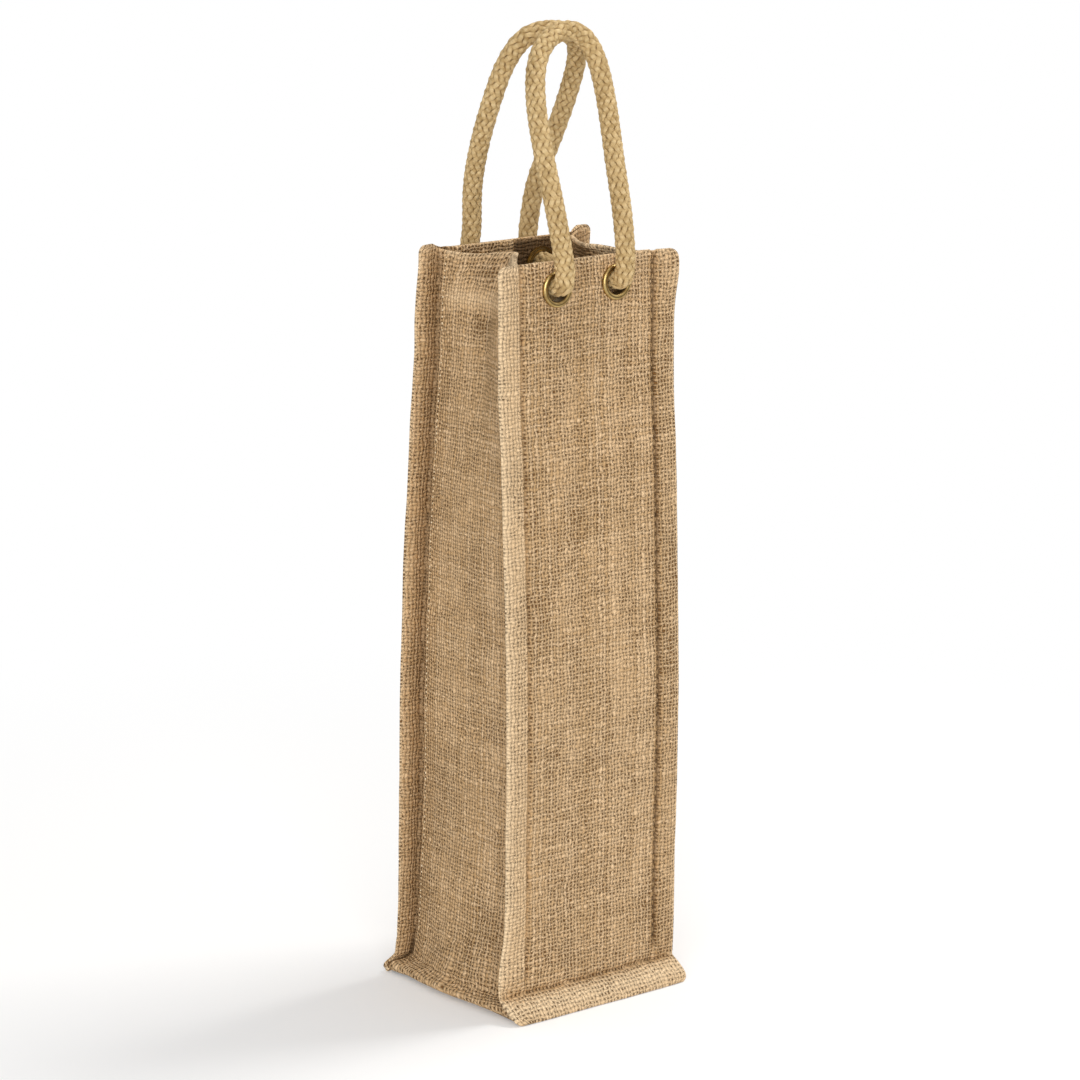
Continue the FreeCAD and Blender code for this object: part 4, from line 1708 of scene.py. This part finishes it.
def finish_tree(graph: Graph, geometry: Wire, material: bpy.types.Material) -> None:
    """End a geometry node tree with real, smooth geometry in one material.

    Args:
        graph: The tree's graph.
        geometry: What the tree has made.
        material: Its finish.
    """
    real = graph.wire("GeometryNodeRealizeInstances", None, {0: geometry})
    smooth = graph.wire("GeometryNodeSetShadeSmooth", None, {0: real})
    dressed = graph.wire("GeometryNodeSetMaterial", None, {"Geometry": smooth, "Material": material})
    graph.node("NodeGroupOutput", None, {0: dressed})


def grown(name: str, mesh: bpy.types.Mesh, tree: bpy.types.NodeTree,
          values: dict[str, Any]) -> bpy.types.Object:
    """Run a geometry node tree over a mesh and keep the result as a plain mesh.

    Args:
        name: Name of the piece.
        mesh: Mesh that the tree starts from.
        tree: The tree.
        values: Values of the tree's inputs, by name.

    Returns:
        The finished piece.
    """
    piece = add_piece(name, mesh)
    modifier = piece.modifiers.new("grow", "NODES")
    modifier.node_group = tree
    sockets = {item.name: item.identifier for item in tree.interface.items_tree if item.in_out == "INPUT"}
    for label, value in values.items():
        modifier[sockets[label]] = value
    depsgraph = bpy.context.evaluated_depsgraph_get()
    result = bpy.data.meshes.new_from_object(piece.evaluated_get(depsgraph))
    result.name = name
    piece.modifiers.clear()
    piece.data = result
    return piece


def line_mesh(name: str, chains: Sequence[Sequence[Vector]]) -> bpy.types.Mesh:
    """Return a mesh of open chains of edges.

    Args:
        name: The mesh's name.
        chains: Points of each chain.

    Returns:
        The mesh.
    """
    points = []
    edges = []
    for chain in chains:
        first = len(points)
        points.extend(chain)
        edges.extend((index, index + 1) for index in range(first, len(points) - 1))
    mesh = bpy.data.meshes.new(name)
    mesh.from_pydata([tuple(point) for point in points], edges, [])
    return mesh


def smooth_line(points: Sequence[Vector], steps: int = 14) -> list[Vector]:
    """Return points along the smooth spline that a route's points control.

    Args:
        points: The route.
        steps: Points for each of the route's runs.

    Returns:
        Points of the spline, in order.
    """
    curve = bpy.data.curves.new("route", "CURVE")
    curve.dimensions = "3D"
    curve.resolution_u = steps
    spline = curve.splines.new("NURBS")
    spline.points.add(len(points) - 1)
    for place, point in zip(spline.points, points):
        place.co = (*point, 1.0)
    spline.order_u = 3
    spline.use_endpoint_u = True
    holder = add_piece("route", curve)
    depsgraph = bpy.context.evaluated_depsgraph_get()
    mesh = bpy.data.meshes.new_from_object(holder.evaluated_get(depsgraph))
    line = [vertex.co.copy() for vertex in mesh.vertices]
    bpy.data.objects.remove(holder)
    bpy.data.curves.remove(curve)
    bpy.data.meshes.remove(mesh)
    return line


@dataclass
class Braid:
    """Round plait: strands that wind both ways round a core and pass over and under each other."""

    material: bpy.types.Material
    diameter: float = 0.009
    fluff: float = 0.0005
    each_way: int = 8
    strand: float = 0.00088
    flatness: float = 1.38
    swell: float = 0.00029
    core: float = 0.0034
    lead: float = 0.052
    uneven: float = 0.24
    sway_step: float = 0.37
    sway_scale: float = 130.0
    step: float = 0.0007
    sides: int = 8
    core_sides: int = 10

    def tree(self) -> bpy.types.NodeTree:
        """Build the plait, which runs along any line of points.

        Returns:
            Its node tree.
        """
        tree, graph, given = new_tree("plait", {
            "Middle radius": ("NodeSocketFloat", (self.diameter + self.fluff) / 2 - self.strand - self.swell),
            "Strand radius": ("NodeSocketFloat", self.strand),
            "Swell": ("NodeSocketFloat", self.swell),
            "Core radius": ("NodeSocketFloat", self.core),
            "Lead": ("NodeSocketFloat", self.lead),
            "Step": ("NodeSocketFloat", self.step),
            "Strands each way": ("NodeSocketInt", self.each_way),
            "Sides": ("NodeSocketInt", self.sides),
            "Flatness": ("NodeSocketFloat", self.flatness),
            "Unevenness": ("NodeSocketFloat", self.uneven),
        })
        line = graph.wire("GeometryNodeMeshToCurve", None, {0: given["Geometry"]})
        line = graph.wire("GeometryNodeResampleCurve", {"mode": "LENGTH"},
                          {"Curve": line, "Length": given["Step"]})
        copies = graph.node("GeometryNodeDuplicateElements", {"domain": "SPLINE"},
                            {"Geometry": line, "Amount": given["Strands each way"] * 2.0})
        number = Wire(graph, copies.outputs["Duplicate Index"])
        along = graph.wire("GeometryNodeSplineParameter", None, None, "Length")
        strands = Wire(graph, copies.outputs["Geometry"])
        way = 1.0 - 2.0 * graph.math("GREATER_THAN", number, given["Strands each way"] - 0.5)
        turns = along / given["Lead"]
        sway = graph.noise(graph.combine(along, number * self.sway_step), self.sway_scale, 1.0) - 0.5
        angle = (number / given["Strands each way"] + way * turns) * math.tau + sway * given["Unevenness"]
        lift = way * graph.math("COSINE", turns * given["Strands each way"] * math.tau)
        for label, value in (("strand", number), ("along", along), ("lift", lift)):
            strands = graph.stored(strands, label, value)
        radius = given["Middle radius"] + given["Swell"] * lift
        normal = graph.wire("GeometryNodeInputNormal")
        tangent = graph.wire("GeometryNodeInputTangent")
        beside = graph.vector("CROSS_PRODUCT", tangent, normal)
        offset = graph.vector("ADD", graph.scaled(normal, graph.math("COSINE", angle) * radius),
                              graph.scaled(beside, graph.math("SINE", angle) * radius))
        strands = graph.stored(strands, "spoke", offset, "FLOAT_VECTOR")
        spoke = graph.wire("GeometryNodeInputNamedAttribute", {"data_type": "FLOAT_VECTOR"},
                           {"Name": "spoke"})
        strands = graph.wire("GeometryNodeSetPosition", None, {"Geometry": strands, "Offset": spoke})
        strands = graph.wire("GeometryNodeSetCurveNormal", {"mode": "FREE"},
                             {"Curve": strands, "Normal": spoke})
        ring = graph.wire("GeometryNodeCurvePrimitiveCircle", None,
                          {"Resolution": given["Sides"], "Radius": given["Strand radius"]})
        oval = graph.combine(1.0, given["Flatness"], 1.0)
        ring = graph.wire("GeometryNodeTransform", None, {"Geometry": ring, "Scale": oval})
        tubes = graph.wire("GeometryNodeCurveToMesh", None,
                           {"Curve": strands, "Profile Curve": ring, "Fill Caps": True})
        thick = graph.wire("GeometryNodeCurvePrimitiveCircle", None,
                           {"Resolution": self.core_sides, "Radius": given["Core radius"]})
        core = graph.wire("GeometryNodeCurveToMesh", None,
                          {"Curve": line, "Profile Curve": thick, "Fill Caps": True})
        # lift -1 marks the core as fully under, so the rope's material paints it with shade
        core = graph.stored(core, "lift", -1.0)
        whole = graph.node("GeometryNodeJoinGeometry", None, {0: tubes})
        graph.feed(whole.inputs[0], core)
        finish_tree(graph, Wire(graph, whole.outputs[0]), self.material)
        return tree


@dataclass
class RopeHandle:
    """Rope handle: one rope from knot to knot, through both eyelets of a panel and over the mouth."""

    side: Side
    braid: Braid
    route: Sequence[tuple[float, float, float]]
    hang_out: float
    drop: float = 0.017
    knot_turn: float = 0.0050
    knot_pitch: float = 0.0075
    knot_tail: float = 0.010
    bore_reach: float = 0.003
    bore_lift: float = 0.0011
    turn_inset: float = 0.0012
    blend_start: Span = (0.0023, 0.001)
    blend_reach: Span = (0.008, 0.010)

    @property
    def label(self) -> str:
        """Name of the side in the nodes' names."""
        return self.side.name.lower()

    def pivot(self) -> Vector:
        """Return the middle of the line that the handle turns about."""
        joint = next(item for item in frame["joints"] if item["name"] == f"{self.label}_handle_swing")
        return Vector(joint["pos_m"])

    def eyelet(self, hand: Hand) -> Vector:
        """Return the middle of one of the panel's eyelets."""
        return middle_of(f"{self.label}_{hand.name.lower()}_eyelet")

    def inner_end(self, hand: Hand) -> list[Vector]:
        """Return the route from a knot up and out through its eyelet to the pivot.

        Args:
            hand: Left or right.

        Returns:
            Points, from the knot outward.
        """
        pivot = self.pivot()
        eyelet = self.eyelet(hand)
        outward = self.side.value
        hang = Vector((eyelet.x, outward * self.hang_out, pivot.z + self.bore_lift))
        through = Vector((eyelet.x, eyelet.y - outward * self.bore_reach, pivot.z + self.bore_lift))
        mouth = Vector((eyelet.x, eyelet.y + outward * self.bore_reach, pivot.z + self.bore_lift))
        turn = Vector((eyelet.x, pivot.y - outward * self.turn_inset, pivot.z + 2 * self.bore_lift))
        knot = Vector((eyelet.x, hang.y, pivot.z - self.drop))
        return [knot, hang, through, mouth, turn]

    def points(self) -> list[Vector]:
        """Lay out the whole route, from the left knot to the right one.

        Returns:
            Its points.
        """
        pivot = self.pivot()
        middle = (self.eyelet(Hand.LEFT).x + self.eyelet(Hand.RIGHT).x) / 2
        loop = [Vector((middle + across, self.side.value * out, pivot.z + up))
                for across, out, up in self.route]
        return self.inner_end(Hand.LEFT) + loop + self.inner_end(Hand.RIGHT)[::-1]

    def build(self, plait: bpy.types.NodeTree) -> list[bpy.types.Object]:
        """Make the rope and its knots, dress them and return them.

        Args:
            plait: Node tree of the plait.

        Returns:
            The rope and its two knots.
        """
        line = smooth_line(self.points())
        rope = grown(f"{self.label}_rope", line_mesh("rope_line", [line]), plait, {"Step": self.braid.step})
        pivot = self.pivot()
        outward = self.side.value
        start = Vector((0.0, pivot.y - outward * self.blend_start[0], pivot.z + self.blend_start[1]))
        end = start + Vector((0.0, outward * self.blend_reach[0], self.blend_reach[1]))
        f"{self.label}_handle"
        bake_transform(rope)
        ends = [f"{self.label}_{hand.name.lower()}_rope_end" for hand in Hand]
        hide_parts(f"{self.label}_handle_rope", *ends)
        knots = [self.knot(hand, plait) for hand in Hand]
        return [rope, *knots]

    def knot(self, hand: Hand, plait: bpy.types.NodeTree) -> bpy.types.Object:
        """Make one stopper knot: two turns round the rope's end and a short tail.

        Args:
            hand: Left or right.
            plait: Node tree of the plait.

        Returns:
            The knot.
        """
        name = f"{self.label}_{hand.name.lower()}_knot"
        top = self.inner_end(hand)[0]
        points = [top + Vector((0.0, 0.0, self.knot_pitch / 2))]
        turns, steps = 2, 12
        for index in range(turns * steps + 1):
            angle = math.tau * index / steps
            fall = self.knot_pitch * (0.75 + index / steps)
            spoke = Vector((math.cos(angle), hand.value * math.sin(angle), 0.0)) * self.knot_turn
            points.append(top + spoke - Vector((0.0, 0.0, fall)))
        bottom = top - Vector((0.0, 0.0, self.knot_pitch * (turns + 0.75)))
        points += [bottom, bottom - Vector((0.0, 0.0, self.knot_tail))]
        line = smooth_line(points, 6)
        piece = grown(name + "_rope", line_mesh("knot_line", [line]), plait, {"Step": self.braid.step})
        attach(piece, "bag")
        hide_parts(name)
        return piece


@dataclass
class SeamThread:
    """Running stitches of thick thread along the sewn seams."""

    name: str
    finish: ThreadFinish
    pitch: float = 0.0046
    length: float = 0.0028
    thickness: float = 0.0007
    lowest: float = 0.016
    rows_left: int = 8
    least: tuple[float, float, float] = (0.85, 0.85, 0.8)
    most: tuple[float, float, float] = (1.1, 1.1, 1.15)

    def tree(self) -> bpy.types.NodeTree:
        """Build the stitches, which run along any line of points.

        Returns:
            Their node tree.
        """
        tree, graph, given = new_tree("running_stitch", {
            "Pitch": ("NodeSocketFloat", self.pitch),
            "Length": ("NodeSocketFloat", self.length),
            "Thickness": ("NodeSocketFloat", self.thickness),
        })
        line = graph.wire("GeometryNodeMeshToCurve", None, {0: given["Geometry"]})
        places = graph.node("GeometryNodeCurveToPoints", {"mode": "LENGTH"},
                            {"Curve": line, "Length": given["Pitch"]})
        bead = graph.wire("GeometryNodeMeshUVSphere", None, {"Segments": 6, "Rings": 5, "Radius": 0.5})
        size = graph.combine(given["Thickness"], given["Thickness"], given["Length"])
        uneven = graph.wire("FunctionNodeRandomValue", {"data_type": "FLOAT_VECTOR"},
                            {0: self.least, 1: self.most, "Seed": 4})
        stitches = graph.wire("GeometryNodeInstanceOnPoints", None, {
            "Points": Wire(graph, places.outputs["Points"]),
            "Instance": bead,
            "Rotation": Wire(graph, places.outputs["Rotation"]),
            "Scale": graph.vector("MULTIPLY", size, uneven),
        })
        finish_tree(graph, stitches, self.finish.material())
        return tree

    def build(self, sewn: "Sequence[Panel | Gusset]") -> bpy.types.Object:
        """Sew the side seams on the faces of panels and gussets.

        Args:
            sewn: Panels and gussets that are already built.

        Returns:
            The thread, as one piece.
        """
        chains = []
        for cloth in sewn:
            points = cloth.shell.face_points
            heights = points[:, points.shape[1] // 2, 2]
            rows = slice(int(np.searchsorted(heights, self.lowest)), -self.rows_left)
            for column in cloth.seam_columns():
                chains.append([Vector(point) for point in points[rows, column]])
        piece = grown(self.name, line_mesh("seam_line", chains), self.tree(), {"Pitch": self.pitch})
        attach(piece, "bag")
        return piece


@dataclass
class Hardware:
    """Brass eyelets and washers, which keep their solids."""

    finish: BrassFinish

    def dress(self) -> list[str]:
        """Give each brass node its finish.

        Returns:
            The nodes' names.
        """
        names = [name for name in frame["nodes"] if name.endswith(("_eyelet", "_washer"))]
        for name in names:
            mesh = frame["nodes"][name].data
            mesh.materials.clear()
            mesh.materials.append(self.finish.material(name, middle_of(name)))
        return names


@dataclass(frozen=True)
class Lamp:
    """A square soft lamp: its name, place, side, power in watts and colour."""

    name: str
    place: tuple[float, float, float]
    size: float
    power: float
    colour: Colour

    def build(self, aim: Vector) -> None:
        """Add the lamp, turned to a point.

        Args:
            aim: The point.
        """
        data = bpy.data.lights.new(self.name, "AREA")
        data.size = self.size
        data.energy = self.power
        data.color = self.colour
        made = bpy.data.objects.new(self.name, data)
        place = Vector(self.place)
        turned = (place - aim).to_track_quat("Z", "Y").to_matrix().to_4x4()
        made.matrix_world = Matrix.Translation(place) @ turned
        bpy.context.scene.collection.objects.link(made)


@dataclass
class Studio:
    """White floor, soft light from the right and the camera of the photograph."""

    azimuth: float = math.radians(-38.90)
    elevation: float = math.radians(13.93)
    roll: float = math.radians(0.83)
    distance: float = 1.8003
    lens: float = 127.23
    sensor: float = 36.0
    aim_height: float = 0.21655
    aim_right: float = -0.00071
    floor_half: float = 4.0
    clip_end: float = 20.0
    sky: float = 0.55
    key: Lamp = Lamp("key", (0.85, -0.10, 1.55), 0.55, 15.0, (1.0, 0.985, 0.96))
    fill: Lamp = Lamp("fill", (-1.4, -1.6, 0.95), 1.6, 31.0, (1.0, 0.985, 0.965))

    @property
    def aim(self) -> Vector:
        """Point on the carrier's middle line that the lamps look at."""
        return Vector((0.0, 0.0, self.aim_height))

    def camera(self) -> None:
        """Place the camera of the photograph."""
        a, e, r = self.azimuth, self.elevation, self.roll
        back = Vector((math.sin(a) * math.cos(e), -math.cos(a) * math.cos(e), math.sin(e)))
        right = Vector((math.cos(a), math.sin(a), 0.0))
        up = back.cross(right)
        place = self.aim + right * self.aim_right + back * self.distance
        turned_right = right * math.cos(r) + up * math.sin(r)
        turned_up = up * math.cos(r) - right * math.sin(r)
        data = bpy.data.cameras.new("photo_camera")
        data.lens = self.lens
        data.sensor_width = self.sensor
        data.clip_end = self.clip_end
        made = bpy.data.objects.new("photo_camera", data)
        axes = Matrix((turned_right, turned_up, back)).transposed().to_4x4()
        made.matrix_world = Matrix.Translation(place) @ axes
        bpy.context.scene.collection.objects.link(made)
        bpy.context.scene.camera = made

    def build(self) -> None:
        """Make the floor, the sky, the lamps and the camera."""
        bpy.context.scene.view_settings.view_transform = "Standard"
        self.camera()
        h = self.floor_half
        mesh = bpy.data.meshes.new("floor")
        mesh.from_pydata([(-h, -h, 0.0), (h, -h, 0.0), (h, h, 0.0), (-h, h, 0.0)], [], [(0, 1, 2, 3)])
        mesh.materials.append(FloorFinish().material())
        add_piece("floor", mesh)
        world = bpy.data.worlds.new("studio_sky")
        bpy.context.scene.world = world
        world.use_nodes = True
        world.node_tree.nodes.clear()
        graph = Graph(world.node_tree)
        strength = self.sky + graph.background_rays() * (1.0 - self.sky)
        sky = graph.wire("ShaderNodeBackground", None, {"Color": (1.0, 1.0, 1.0, 1.0), "Strength": strength})
        graph.node("ShaderNodeOutputWorld", None, {"Surface": sky})
        for lamp in (self.key, self.fill):
            lamp.build(self.aim)


# Routes of the handles from left to right: across from the eyelets' middle, out, and up from the eyelets
FRONT_ROUTE = [
    (-0.0180, 0.0378, 0.0090),
    (-0.0204, 0.0385, 0.0190),
    (-0.0230, 0.0352, 0.0400),
    (-0.0230, 0.0268, 0.0620),
    (-0.0214, 0.0186, 0.0830),
    (-0.0159, 0.0112, 0.1000),
    (-0.0055, 0.0062, 0.1105),
    (0.0075, 0.0041, 0.1143),
    (0.0180, 0.0050, 0.1105),
    (0.0224, 0.0098, 0.0990),
    (0.0220, 0.0176, 0.0790),
    (0.0182, 0.0274, 0.0570),
    (0.0170, 0.0350, 0.0350),
    (0.0172, 0.0378, 0.0170),
    (0.0175, 0.0378, 0.0090),
]
BACK_ROUTE = [
    (-0.0172, 0.0380, 0.0090),
    (-0.0148, 0.0388, 0.0180),
    (-0.0172, 0.0364, 0.0380),
    (-0.0192, 0.0286, 0.0590),
    (-0.0190, 0.0200, 0.0800),
    (-0.0172, 0.0122, 0.0990),
    (-0.0100, 0.0066, 0.1115),
    (0.0050, 0.0041, 0.1135),
    (0.0182, 0.0056, 0.1095),
    (0.0254, 0.0116, 0.0990),
    (0.0272, 0.0208, 0.0800),
    (0.0256, 0.0302, 0.0580),
    (0.0212, 0.0374, 0.0370),
    (0.0190, 0.0388, 0.0180),
    (0.0176, 0.0380, 0.0090),
]


def report(piece: bpy.types.Object) -> None:
    """Log a finished piece and its number of triangles."""
    triangles = sum(len(polygon.vertices) - 2 for polygon in piece.data.polygons)
    LOG.info("%s: %d triangles", piece.name, triangles)


def main() -> None:
    """Build the studio and every piece in order."""
    logging.basicConfig(level=logging.INFO, format="%(name)s: %(message)s")
    Studio().build()
    braid = Braid(RopeFinish().material())
    plait = braid.tree()
    hang_out = abs(middle_of("front_left_knot").y)
    for side, route in ((Side.FRONT, FRONT_ROUTE), (Side.BACK, BACK_ROUTE)):
        for piece in RopeHandle(side, braid, route, hang_out).build(plait):
            report(piece)
    jute = JuteFinish().material()
    panel_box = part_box("front_panel")
    form = BagForm(height=panel_box[1].z, half_width=panel_box[1].x)
    panels = [
        Panel(form, Side.FRONT, jute),
        Panel(form, Side.BACK, jute, tip_shift=(-0.0026, 0.0018), tip_spread=(0.0056, 0.0), notch=0.0,
              sweep=0.0008, lower_pad=0.0021, corner_radius=0.0038, foot_radius=0.0022, lap=0.0035),
    ]
    gussets = [
        Gusset(form, Hand.LEFT, jute, skirt=0.0042, lip=0.0018, narrow=0.0020, foot_narrow=0.0025,
               spread=(0.0030, 0.0008), fold_depth=0.0224),
        Gusset(form, Hand.RIGHT, jute),
    ]
    for cloth in (*panels, *gussets):
        report(cloth.build())
    report(Base(form, jute).build())
    report(SeamThread("panel_thread", ThreadFinish()).build(panels))
    # pale beads set just beside the gussets' seams
    pale_thread = ThreadFinish("pale_thread", (0.88, 0.75, 0.54), (0.60, 0.45, 0.26))
    stitches = SeamThread("gusset_thread", pale_thread, pitch=0.0031, length=0.0011, thickness=0.0007)
    report(stitches.build(gussets))
    LOG.info("brass: %d nodes", len(Hardware(BrassFinish()).dress()))


if __name__ == "__main__":
    main()
